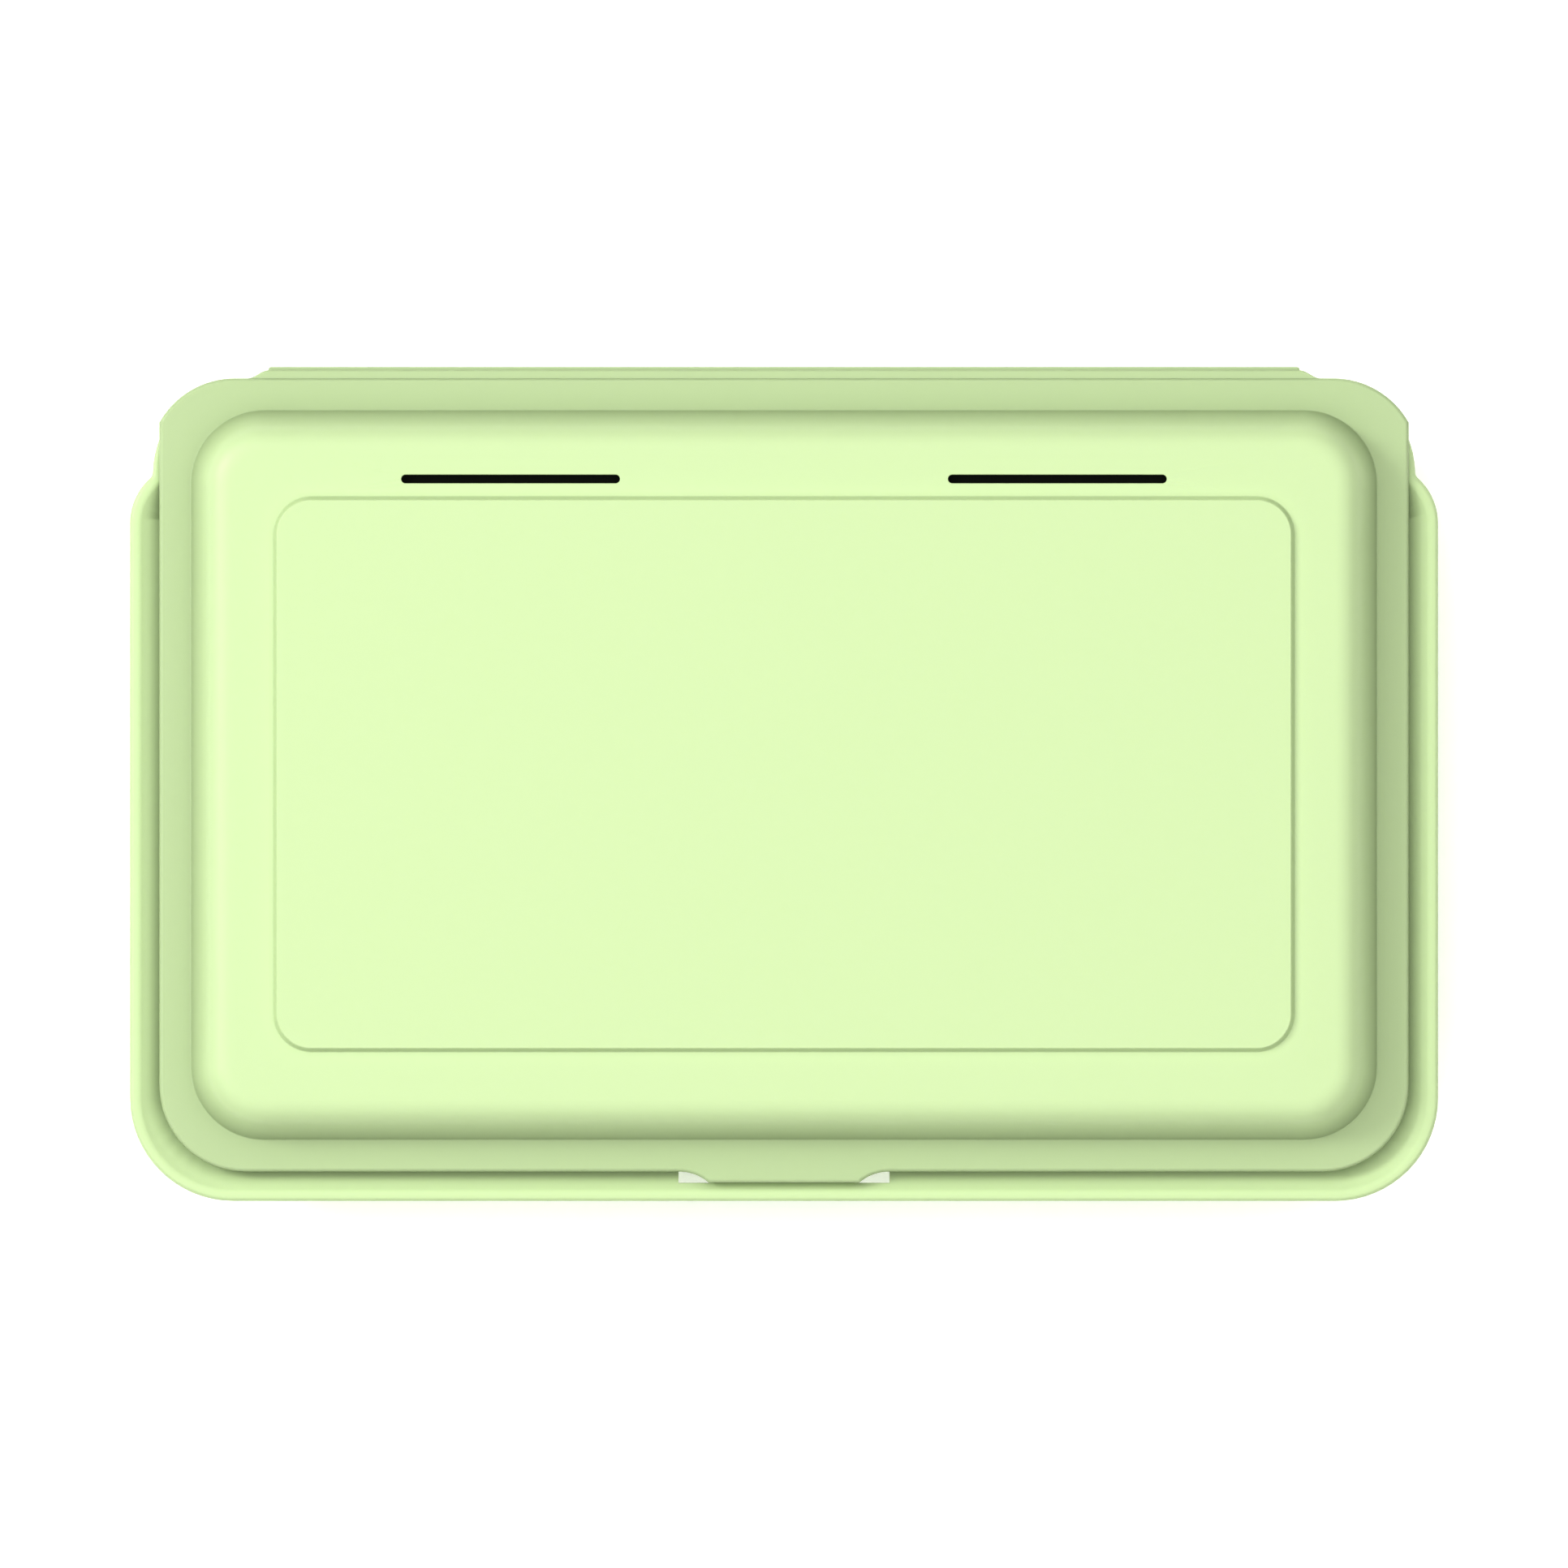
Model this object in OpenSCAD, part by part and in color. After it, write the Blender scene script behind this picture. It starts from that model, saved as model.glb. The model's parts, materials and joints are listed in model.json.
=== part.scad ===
// Toy tablet in a hinged clamshell case.
// The lid folds on a thin web along the back edge and snaps shut with a tongue at the front.
// Origin: centre of the footprint, on the surface that the feet stand on. +Y is the hinge side.

/* [Case] */
// Width over the outer rim
case_w = 240; // [230:1:250]
// Depth from the rim's front edge to the fold at the back
case_d = 153; // [148:1:158]
// Height of the parting plane, where lid and base meet
base_h = 24; // [24:0.5:28]
// Moulded wall thickness of lid and base
wall = 1.8; // [1.6:0.1:2.2]
// Height of the rubber feet under the base
foot_h = 1.2; // [0.8:0.1:2]

/* [Rim and flange] */
// Width of the rim, from its outer edge to the flat floor of the gutter
rim_w = 3.3; // [3:0.1:3.6]
// Depth of the finger gutter below the parting plane
gutter_deep = 3; // [2:0.1:3.5]
// Open width of the gutter's floor beside the lid's edge
gutter_w = 2.1; // [1.5:0.1:2.5]
// Width of the lid's flat flange, from its edge to the dome's foot
flange_w = 5.9; // [5:0.1:7]
// Thickness of the lid's flange
flange_t = 1.6; // [1.4:0.1:2]

/* [Dome] */
// Corner radius at the dome's foot
dome_r = 13.4; // [12:0.1:15]
// How far the dome's wall leans in
lean_run = 2.5; // [2:0.1:3]
// Height of the dome's leaning wall
lean_rise = 6; // [5:0.5:8]
// Radius of the dome's rounded shoulder
shoulder_r = 5.4; // [4.5:0.1:6]
// Height of the raised panel above the dome
panel_rise = 1; // [0.6:0.1:1.5]

/* [Sound slots] */
// Length of each slot in the lid
slot_l = 40; // [30:1:44]
// Width of each slot
slot_w = 1.5; // [1.2:0.1:2]
// Distance of each slot's middle from the centre line
slot_x = 50.1; // [46:0.1:54]

/* [Latch] */
// Width of the opening in the base that the tongue drops into
latch_gap_w = 38.7; // [36:0.1:42]
// Width of the lid's tab where it meets the rim
tab_w = 27.6; // [26:0.1:30]
// Radius of the flares beside the tab
flare_r = 8.2; // [7:0.1:9]

/* [Controls] */
// Radius of the round activity buttons
button_r = 11; // [9:0.5:12]
// Radius of the home button
home_r = 8; // [7:0.5:9]
// Width and depth of the screen's clear window
window = [134, 78];

/* [Battery bay] */
// Diameter of one cell
cell_d = 10.5; // [10:0.1:11]
// Length of one cell
cell_l = 44.5; // [44:0.1:45]
// Distance from one cell's middle to the next
cell_pitch = 11.6; // [11.2:0.1:12.5]

/* [Hidden] */
$fn = 48;
HULL_FN = 32;
skin = 0.01;     // thickness of the slices that a hull joins
cut = 1;         // how far a cutting tool runs past the face it cuts

// Plan of the case. Each plan is [half width, front edge, back edge, front radius, back radius].
half_w = case_w / 2;
front = -case_d / 2;
fold_r = 0.6;                                  // radius of the web that the lid folds on
fold_y = case_d / 2 - fold_r;
flange_back = case_d / 2 - 2.1;
rim_plan = [half_w, front, 59, 18.9, 11.2];
seat_plan = [half_w - rim_w - gutter_w + 1.2, front + rim_w, flange_back, 17.5, 17.5];
lid_plan = [half_w - rim_w - gutter_w, front + rim_w + gutter_w, flange_back, 15.8, 15.8];
dome_plan = [lid_plan[0] - flange_w, lid_plan[1] + flange_w, flange_back - flange_w, dome_r, dome_r];
panel_plan = [dome_plan[0] - 15, dome_plan[1] + 16, dome_plan[2] - 15.7, 7.1, 7.1];
tray_plan = [dome_plan[0] - 1.2, dome_plan[1] + 0.6, dome_plan[2] - 0.6, 13, 13];
tray_draft = 3;                                // how far the tray's wall leans in at the bottom
tray_edge_r = 4;                               // rounding along the tray's bottom edge
deck_plan = [tray_plan[0] - 2.6, tray_plan[1] + 2.5, tray_plan[2] - 2.5, 10.6, 10.6];
lid_bulge = 2;                                 // how far the lid's back corner arcs run past its sides
leaf_t = 1.1;                                  // thickness of the strips beside the fold
leaf_half = 94.6;                              // half length of the strips at the fold

// Levels above the table
floor_z = foot_h + wall;                       // top of the tray's floor
flange_z = base_h + flange_t;                  // top of the lid's flange
gutter_z = base_h - gutter_deep;               // floor of the gutter
lean_angle = atan(lean_run / lean_rise);
ring_z = flange_z + lean_rise + shoulder_r * (1 - sin(lean_angle));
deck_top = base_h - 1;
deck_t = 2.4;
deck_under = deck_top - deck_t;
board_t = 1.6;
main_board_z = 15.5;
key_board_z = 13.4;
pad_t = 1;

// Places on the deck
screen_y = 4;
side_x = 86.5;
side_ys = [32, 4, -24];
row_y = -49;
volume_x = 24;
slider_x = 58;
light_x = -58;
speaker_y = 55;
speaker = [40, 18, 4.6];
post_places = [[-96, -53], [96, -53], [-96, 56.5], [96, 56.5], [0, 56.5], [-40, -53.4], [40, -53.4]];
board_posts = [[-71.2, -25], [71.2, -25], [-71.2, 33], [71.2, 33]];
key_posts = [[-70, -41], [70, -41], [-96.5, 18], [96.5, 18]];
foot_places = [[-82, -46], [82, -46], [-82, 48], [82, 48]];
screw_r = 1.4;
run = 0.05;                                    // running clearance round a shaft
gap = 0.3;                                     // clearance round a moving piece

// Battery bay
bay = [cell_l + 6.5, 3 * cell_pitch];
cell_z = floor_z + 0.35 + cell_d / 2;
cell_push = 2.4;                               // how far its spring pushes a cell off the middle
box_wall = 1.4;
box_top = floor_z + cell_d + 0.6;               // ceiling of the bay
box_lid = 1;
door = [bay[0] + 14, bay[1] + 5.6];
door_t = 1.6;
door_screw_x = door[0] / 2 - 3.4;
tab_ys = [-11, 11];                            // middles of the door's two tabs
door_tab_w = 6;                                // width of one tab
tab_room = 9;                                  // width of the room that a tab turns in
bead = [-door[0] / 2 - 0.75, foot_h + 0.45];   // middle of the bead that the door tips about, in X and Z
bead_r = 0.45;

// Latch
latch_y = front + rim_w + 0.9;
latch_z = base_h - 1;
tongue_r = 0.7;
tongue_h = 5.4;
tongue_w = 26;

// ---- Shapes that repeat ----

// Rounded rectangle from a plan, drawn inwards by inset
module outline(plan, inset = 0) {
    x = plan[0] - inset;
    y0 = plan[1] + inset;
    y1 = plan[2] - inset;
    r0 = max(plan[3] - inset, 0.2);
    r1 = max(plan[4] - inset, 0.2);
    translate([-x, y0 + r0]) square([2 * x, y1 - r1 - y0 - r0]);
    translate([-x + r0, y0]) square([2 * (x - r0), r0]);
    translate([-x + r1, y1 - r1]) square([2 * (x - r1), r1]);
    for (side = [-1, 1]) {
        translate([side * (x - r0), y0 + r0]) circle(r0);
        translate([side * (x - r1), y1 - r1]) circle(r1);
    }
}

module plate(plan, z0, z1, inset = 0) {
    translate([0, 0, z0]) linear_extrude(z1 - z0) outline(plan, inset);
}

// One smooth solid through slices given as [height, inset]
module loft(plan, levels) {
    hull() for (level = levels) translate([0, 0, level[0]])
        linear_extrude(skin) outline(plan, level[1], $fn = HULL_FN);
}

module rounded_bar(length, width) {
    square([length - width, width], center = true);
    for (side = [-1, 1]) translate([side * (length - width) / 2, 0]) circle(width / 2);
}

module tube(outer, inner, height) {
    difference() {
        cylinder(r = outer, h = height);
        translate([0, 0, -cut]) cylinder(r = inner, h = height + 2 * cut);
    }
}

module at(places, z = 0) {
    for (place = places) translate([place[0], place[1], z]) children();
}

// Round lead through a list of points
module lead(points, r = 0.6) {
    for (i = [0 : len(points) - 2]) {
        step = points[i + 1] - points[i];
        translate(points[i]) rotate([0, acos(step[2] / norm(step)), atan2(step[1], step[0])])
            cylinder(r = r, h = norm(step), $fn = 16);
    }
    for (i = [1 : len(points) - 2]) translate(points[i]) sphere(r + 0.05, $fn = 16);
}

// ---- Case base ----

// Slices of the tray: its outside where thick is 0, its inside where thick is the wall
function tray_levels(thick, top) = let (r = tray_edge_r - thick) [
    for (turn = [0 : 22.5 : 90])
        [foot_h + thick + r * (1 - sin(turn)), thick + tray_draft + r * (1 - cos(turn))],
    [top, thick]
];

module fold_leaf(z0) {
    back = fold_y;
    translate([0, 0, z0]) linear_extrude(leaf_t) polygon([
        [-leaf_half - 3.8, flange_back - cut], [-leaf_half - 3.8, flange_back],
        [-leaf_half - 2.2, flange_back + 0.5], [-leaf_half - 0.4, back],
        [leaf_half + 0.4, back], [leaf_half + 2.2, flange_back + 0.5],
        [leaf_half + 3.8, flange_back], [leaf_half + 3.8, flange_back - cut]
    ]);
}

module fold_scoop(clearance) {
    translate([-half_w, fold_y, base_h]) rotate([0, 90, 0])
        cylinder(r = fold_r + clearance, h = case_w);
}

// Gutter round the front and sides: its outer bank is the rim, its inner one carries the lid
module gutter() {
    difference() {
        loft(rim_plan, [[gutter_z, rim_w], [gutter_z + 0.5 * gutter_deep, 0.6 * rim_w],
                        [base_h, 0.9], [base_h + cut, 0.9]]);
        plate(dome_plan, gutter_z - cut, base_h + 2 * cut, -0.5);
    }
}

module screw_post(place) {
    translate([place[0], place[1], floor_z - 0.4]) cylinder(r = 4, h = 12 - floor_z + 0.4);
}

module base_tray() {
    color("#dcf5b0") union() {
        difference() {
            union() {
                loft(tray_plan, tray_levels(0, base_h - wall));
                plate(seat_plan, gutter_z - wall, base_h);
                plate(rim_plan, gutter_z - wall, base_h);
                fold_leaf(base_h - leaf_t);
            }
            gutter();
            difference() {
                loft(tray_plan, tray_levels(wall, base_h + cut));
                for (place = post_places) screw_post(place);
            }
            at(post_places, 10) cylinder(r = screw_r + 0.15, h = 4);
            at(post_places, 0) cylinder(r = 3.2, h = 10);
            fold_scoop(0);
            translate([-latch_gap_w / 2, latch_y - 0.9, 0]) cube([latch_gap_w, 3.7, base_h + cut]);
            translate([-door[0] / 2 - gap, -door[1] / 2 - gap, 0])
                cube([door[0] + 2 * gap, door[1] + 2 * gap, floor_z + cut]);
            for (y = tab_ys) {
                translate([-door[0] / 2 - 3, y - tab_room / 2, foot_h + 0.8]) cube([5, tab_room, 4]);
                translate([bead[0] - 0.15, y - tab_room / 2, 0]) cube([3, tab_room, floor_z]);
            }
            at(foot_places, 0) cylinder(r = 6.1, h = foot_h + 0.6);
        }
        for (y = tab_ys) translate([bead[0], y - tab_room / 2 - 0.1, bead[1]])
            rotate([-90, 0, 0]) cylinder(r = bead_r, h = tab_room + 0.2);
    }
}

module foot_pads() {
    color("#3c4238") at(foot_places, 0) {
        cylinder(r1 = 5.4, r2 = 6, h = 0.6);
        translate([0, 0, 0.6]) cylinder(r = 6, h = foot_h);
    }
}

module fold_web() {
    color("#dcf5b0") translate([-leaf_half, fold_y, base_h]) rotate([0, 90, 0])
        cylinder(r = fold_r, h = 2 * leaf_half);
}

// ---- Lid ----

// Slices of the dome from its foot up: a leaning wall, then the rounded shoulder
function dome_levels(thick, foot) = [
    [foot, thick / cos(lean_angle) + (foot - flange_z) * tan(lean_angle)],
    for (turn = [lean_angle : (90 - lean_angle) / 6 : 90.01])
        [flange_z + lean_rise - shoulder_r * sin(lean_angle) + (shoulder_r - thick) * sin(turn),
         lean_run + shoulder_r * cos(lean_angle) - (shoulder_r - thick) * cos(turn)]
];

// Lid's outline: wide corner arcs at the back, cut off along the sides, and the tab in front
module lid_outline() {
    intersection() {
        outline([lid_plan[0] + lid_bulge, lid_plan[1], lid_plan[2], lid_plan[3] + lid_bulge,
                 lid_plan[4]]);
        outline([lid_plan[0], lid_plan[1], lid_plan[2] + 20, lid_plan[3], 1]);
    }
    tab_outline();
}

module tab_outline() {
    reach = latch_y - 0.85;
    deep = lid_plan[1] - reach;
    root = tab_w / 2 + sqrt(flare_r * flare_r - pow(flare_r - deep, 2));
    difference() {
        translate([-root, reach]) square([2 * root, deep + 1]);
        for (side = [-1, 1]) translate([side * root, lid_plan[1] - flare_r]) circle(flare_r);
    }
}

module slot_holes(length, width) {
    for (side = [-1, 1]) translate([side * slot_x, panel_plan[2] + 3.1])
        rounded_bar(length, width);
}

module lid_shell() {
    ceiling = ring_z - wall;
    color("#dcf5b0") difference() {
        union() {
            translate([0, 0, base_h]) linear_extrude(flange_t) lid_outline();
            fold_leaf(base_h);
            loft(dome_plan, dome_levels(0, flange_z - 0.2));
            plate(panel_plan, ring_z - 0.4, ring_z + panel_rise);
            translate([-tongue_w / 2 - 0.3, latch_y - 0.8, latch_z])
                cube([tongue_w + 0.6, 1.7, flange_t]);
        }
        loft(dome_plan, dome_levels(wall, base_h - cut));
        plate(panel_plan, ceiling - 0.5, ceiling + panel_rise, 1.2);
        translate([0, 0, ceiling - cut]) linear_extrude(wall + 2 * cut) slot_holes(slot_l, slot_w);
        fold_scoop(run);
        translate([-case_w, latch_y, latch_z]) rotate([0, 90, 0])
            cylinder(r = tongue_r + run, h = 2 * case_w);
    }
}

module slot_cloths() {
    color("#171b12") translate([0, 0, ring_z - wall - 0.6]) linear_extrude(0.55)
        slot_holes(slot_l + 5, 5.4);
}

module slot_retainers() {
    color("#cfe8a4") translate([0, 0, ring_z - wall - 1.8]) linear_extrude(1.2) difference() {
        slot_holes(slot_l + 5, 5.4);
        slot_holes(slot_l + 1, 2);
    }
}

module latch_tongue() {
    color("#dcf5b0") union() {
        translate([-tongue_w / 2, latch_y, latch_z]) rotate([0, 90, 0])
            cylinder(r = tongue_r, h = tongue_w);
        translate([-tongue_w / 2, latch_y - tongue_r, latch_z - tongue_h])
            cube([tongue_w, 2 * tongue_r, tongue_h]);
        translate([-tongue_w / 2, latch_y - tongue_r, latch_z - tongue_h]) rotate([90, 0, 90])
            linear_extrude(tongue_w) polygon([[0, 0], [-0.9, 0.8], [-0.9, 1.2], [0, 1.4]]);
    }
}

// ---- Controls ----

module button_hole(r) {
    cylinder(r = r + gap, h = base_h);
}

module pill(length, width) {
    linear_extrude(base_h) rounded_bar(length, width);
}

module control_deck() {
    color("#f5f2e8") union() {
        difference() {
            plate(deck_plan, deck_under, deck_top);
            at([for (s = [-1, 1], y = side_ys) [s * side_x, y]]) button_hole(button_r);
            translate([0, row_y]) button_hole(home_r);
            for (s = [-1, 1]) translate([s * volume_x, row_y, 0]) pill(17.6, 9.6);
            translate([slider_x, row_y, 0]) pill(17, 5.6);
            translate([light_x, row_y, 0]) cylinder(r = 1.85, h = base_h);
            translate([-window[0] / 2, screen_y - window[1] / 2, deck_top - 1.2])
                cube([window[0], window[1], 2]);
            translate([-window[0] / 2 + 3, screen_y - window[1] / 2 + 3, 0])
                cube([window[0] - 6, window[1] - 6, base_h]);
            for (s = [-1, 1]) translate([s * slot_x, speaker_y, deck_top]) {
                cube([36, 12, 4 * deck_t], center = true);
                cube([38, 14, 2.8], center = true);
            }
        }
        at(post_places, 12.05) tube(3.5, screw_r + 0.05, deck_under - 12.05);
        at(board_posts, main_board_z + board_t) tube(2.4, 1, deck_under - main_board_z - board_t);
        at(key_posts, key_board_z + board_t) tube(2.4, 1, deck_under - key_board_z - board_t);
    }
}

module speaker_grilles() {
    color("#9fc7b4") for (s = [-1, 1]) translate([s * slot_x, speaker_y, deck_top - 1.4])
        difference() {
            translate([-18.8, -6.8, 0]) cube([37.6, 13.6, 1.4]);
            for (row = [-2 : 2], column = [-1 : 1]) translate([column * 12, row * 2.5, -cut])
                linear_extrude(4) rounded_bar(10, 1.2);
        }
}

module screen_window() {
    color("#e8f0f2") translate([-window[0] / 2 + 0.1, screen_y - window[1] / 2 + 0.1, deck_top - 1.2])
        cube([window[0] - 0.2, window[1] - 0.2, 1.2]);
}

module display_panel() {
    color("#1c2226") translate([-66, screen_y - 38, deck_under - 2.3]) cube([132, 76, 2.3]);
}

module display_frame() {
    color("#8d9296") translate([0, screen_y, deck_under - 2.9]) difference() {
        translate([-67.2, -39.2, 0]) cube([134.4, 78.4, 2.8]);
        translate([-66, -38, 0.6]) cube([132, 76, 3]);
        translate([-60, -32, -cut]) cube([120, 64, 4]);
    }
}

module ribbon_cables() {
    ribbon = 0.3;
    color("#c98a3a") {
        translate([-12, screen_y - 39.3, 0]) rotate([90, 0, 90]) linear_extrude(24)
            polygon([[0, deck_under - 1.6], [0, deck_under - 1.3], [-1.5, deck_under - 1.3],
                     [-1.5, main_board_z - ribbon], [7.5, main_board_z - ribbon],
                     [7.5, main_board_z], [-1.2, main_board_z], [-1.2, deck_under - 1.6]]);
        translate([30, -41, main_board_z - ribbon - 0.1]) cube([14, 13, ribbon]);
    }
}

module main_board() {
    color("#2f7a4c") difference() {
        union() {
            translate([-62, -30, main_board_z]) cube([124, 68, board_t]);
            for (place = board_posts) translate([-74, place[1] - 4, main_board_z])
                cube([148, 8, board_t]);
        }
        at(board_posts, 0) cylinder(r = 1.2, h = base_h);
    }
}

module board_chips() {
    color("#20242a") {
        at([[-44, -20], [-44, 28], [46, 26]], main_board_z - 1.2) cylinder(r = 5, h = 1.2);
        translate([36, -27, main_board_z - 2.2]) cube([14, 9, 2.2]);
        at([[50, 8], [-52, 6]], main_board_z - 4) cylinder(r = 2.5, h = 4);
    }
}

module key_board() {
    color("#2f7a4c") difference() {
        union() {
            for (s = [-1, 1]) translate([s * side_x - 13, -42, key_board_z])
                cube([26, 88, board_t]);
            translate([-side_x - 5, -57, key_board_z]) cube([2 * side_x + 10, 19, board_t]);
        }
        at(key_posts, 0) cylinder(r = 1.2, h = base_h);
        at(post_places, 0) cylinder(r = 4.4, h = base_h);
    }
}

// Silicone sheet with one dome under each button
module keypad(places, size, middle) {
    sheet_z = key_board_z + board_t;
    color("#d9dcd6") {
        translate([middle[0] - size[0] / 2, middle[1] - size[1] / 2, sheet_z])
            cube([size[0], size[1], pad_t]);
        at(places, sheet_z + pad_t) cylinder(r1 = 4.2, r2 = 2.6, h = deck_under - 1.7 - sheet_z - pad_t);
    }
}

module side_keypad(side) {
    keypad([for (y = side_ys) [side * side_x, y]], [14.8, 74], [side * side_x, 4]);
}

module front_keypad() {
    keypad([[-volume_x, row_y], [0, row_y], [volume_x, row_y]], [62, 10], [0, row_y]);
}

// Button: cap through the deck, and a collar under it that keeps the cap in
module round_button(r, rise, colour) {
    color(colour) {
        translate([0, 0, deck_under - 0.2]) cylinder(r = r, h = deck_t + 0.2 + rise);
        translate([0, 0, deck_under - 1.7]) cylinder(r = r + 1.1, h = 1.5);
    }
}

module side_button(index, side, colour) {
    translate([side * side_x, side_ys[index], 0]) round_button(button_r, 2.6, colour);
}

module volume_button(side) {
    color("#f6cf62") translate([side * volume_x, row_y, deck_under - 1.7]) {
        linear_extrude(1.5) rounded_bar(19, 11);
        translate([0, 0, 1.5]) linear_extrude(deck_t + 0.2 + 1.8) rounded_bar(17, 9);
    }
}

module power_slider() {
    color("#f2937e") translate([slider_x - 3, row_y, 0]) {
        translate([0, 0, deck_under - 1.2]) linear_extrude(1.1) rounded_bar(18, 9);
        translate([-1, -1.5, deck_under - 2.2]) cube([2, 3, 1.2]);
        translate([0, 0, deck_under - 0.2]) linear_extrude(deck_t + 1.6) rounded_bar(10, 5);
    }
}

module power_switch() {
    color("#b9bec2") translate([slider_x, row_y, key_board_z + board_t]) {
        translate([-6.5, -3.5, 0]) cube([13, 7, 3.2]);
    }
}

module power_light() {
    color("#fbf4c8") translate([light_x, row_y, key_board_z + board_t])
        cylinder(r = 1.75, h = deck_top + 0.5 - key_board_z - board_t);
}

// ---- Sound ----

module speaker_frame(side) {
    color("#4a4f54") translate([side * slot_x, speaker_y, deck_under - 0.6 - speaker[2]])
        difference() {
            translate([-speaker[0] / 2, -speaker[1] / 2, 0]) cube(speaker);
            translate([0, 0, 2]) linear_extrude(4) rounded_bar(36, 14);
        }
}

module speaker_cones() {
    color("#2a2d30") for (s = [-1, 1])
        translate([s * slot_x, speaker_y, deck_under - 0.6 - speaker[2] + 2]) {
            linear_extrude(1) rounded_bar(35.4, 13.4);
            translate([0, 0, 1]) linear_extrude(0.9) rounded_bar(22, 6.4);
        }
}

module speaker_gaskets() {
    color("#3a3d3a") for (s = [-1, 1]) translate([s * slot_x, speaker_y, deck_under - 0.6])
        linear_extrude(0.6) difference() {
            square([40, 18], center = true);
            rounded_bar(36.6, 14.6);
        }
}

module speaker_leads() {
    start_z = deck_under - 0.6 - speaker[2] - 0.6;
    color("#b5483c") for (s = [-1, 1], n = [0, 1])
        lead([[s * (34 + 3 * n), speaker_y, start_z], [s * (33 + 2 * n), 44, start_z],
              [s * (30 + 2 * n), 36 - 2 * n, main_board_z - 0.7]]);
}

// ---- Power ----

module battery_box() {
    out = [bay[0] + 2 * box_wall, bay[1] + 2 * box_wall];
    color("#5b6064") difference() {
        union() {
            translate([-out[0] / 2, -out[1] / 2, floor_z])
                cube([out[0], out[1], box_top + box_lid - floor_z]);
            translate([-door[0] / 2 - 3, -door[1] / 2 - 2.6, floor_z])
                cube([door[0] + 6, door[1] + 5.2, 1.2]);
            translate([door_screw_x, 0, floor_z]) cylinder(r = 3, h = 5);
        }
        translate([-bay[0] / 2, -bay[1] / 2, 0]) cube([bay[0], bay[1], box_top]);
        for (y = tab_ys) translate([-door[0] / 2 - 4, y - tab_room / 2, 0]) cube([6, tab_room, 7]);
        translate([door_screw_x, 0, 0]) cylinder(r = screw_r + 0.2, h = 7.2);
    }
}

module battery_cells() {
    color("#e7c341") for (row = [-1 : 1]) {
        flip = row == 0 ? -1 : 1;
        translate([flip * cell_push, row * cell_pitch, cell_z]) rotate([0, 90, 0]) {
            translate([0, 0, -cell_l / 2 + 0.8]) cylinder(r = cell_d / 2, h = cell_l - 1.6);
            translate([0, 0, flip > 0 ? cell_l / 2 - 0.8 : -cell_l / 2]) cylinder(r = 1.9, h = 0.8);
        }
    }
}

module battery_springs() {
    wire = 0.35;
    turns = 4;
    length = bay[0] / 2 - cell_l / 2 + cell_push - 0.9;
    step = (length - 2 * wire) / (turns - 1);
    color("#c9ccce") for (row = [-1 : 1]) {
        flip = row == 0 ? -1 : 1;
        translate([-flip * (bay[0] / 2 - 0.6), row * cell_pitch, cell_z]) rotate([0, flip * 90, 0]) {
            translate([-4, -4.6, -0.4]) cube([8, 9.2, 0.4 + 0.5 * wire]);
            for (turn = [0 : turns - 1]) translate([0, 0, wire + turn * step])
                rotate_extrude() translate([3.4 - 0.4 * turn, 0]) circle(wire, $fn = 16);
            rotate([90, 0, 0]) linear_extrude(2 * wire, center = true)
                polygon([[3.7, 0], [3, 0], [1.9, length - wire], [2.6, length - wire]]);
        }
    }
}

module battery_contacts() {
    color("#c9ccce") for (row = [-1 : 1]) {
        flip = row == 0 ? -1 : 1;
        translate([flip * (bay[0] / 2 - 0.5), row * cell_pitch, cell_z])
            cube([0.6, 9, 8], center = true);
    }
}

module battery_leads() {
    color("#3a4048") for (n = [0, 1])
        lead([[27.2, 7 + 3 * n, 9], [32, 8 + 3 * n, 9], [35, 12 + 3 * n, 12],
              [38, 16 + 3 * n, main_board_z - 0.7]]);
}

module battery_door() {
    color("#dcf5b0") difference() {
        union() {
            translate([-door[0] / 2, -door[1] / 2, foot_h]) cube([door[0], door[1], door_t]);
            for (y = tab_ys) translate([-door[0] / 2 - 2, y - door_tab_w / 2, foot_h + 1])
                cube([3, door_tab_w, door_t - 1]);
        }
        translate([door_screw_x, 0, 0]) cylinder(r = screw_r + 0.1, h = 5);
        translate([door_screw_x, 0, 0]) cylinder(r = 2.4, h = foot_h + 0.8);
    }
}

module battery_door_screw() {
    color("#aab0b5") translate([door_screw_x, 0, foot_h]) pan_screw(2.3, 0.75, screw_r, 5);
}

// Screw with its head down, its head's lower face at zero
module pan_screw(head_r, head_h, shank_r, shank_l) {
    difference() {
        union() {
            cylinder(r = head_r, h = head_h);
            translate([0, 0, head_h]) cylinder(r = shank_r, h = shank_l);
        }
        for (turn = [0, 90]) rotate(turn) translate([-head_r * 0.6, -0.3, -cut])
            cube([head_r * 1.2, 0.6, cut + head_h * 0.6]);
    }
}

module deck_screws() {
    color("#aab0b5") at(post_places, 8.2) pan_screw(2.8, 1.8, screw_r, 8);
}

module board_screws() {
    color("#aab0b5") {
        at(board_posts, main_board_z - 1) pan_screw(1.9, 1, 0.95, 4);
        at(key_posts, key_board_z - 1) pan_screw(1.9, 1, 0.95, 5);
    }
}

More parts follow.
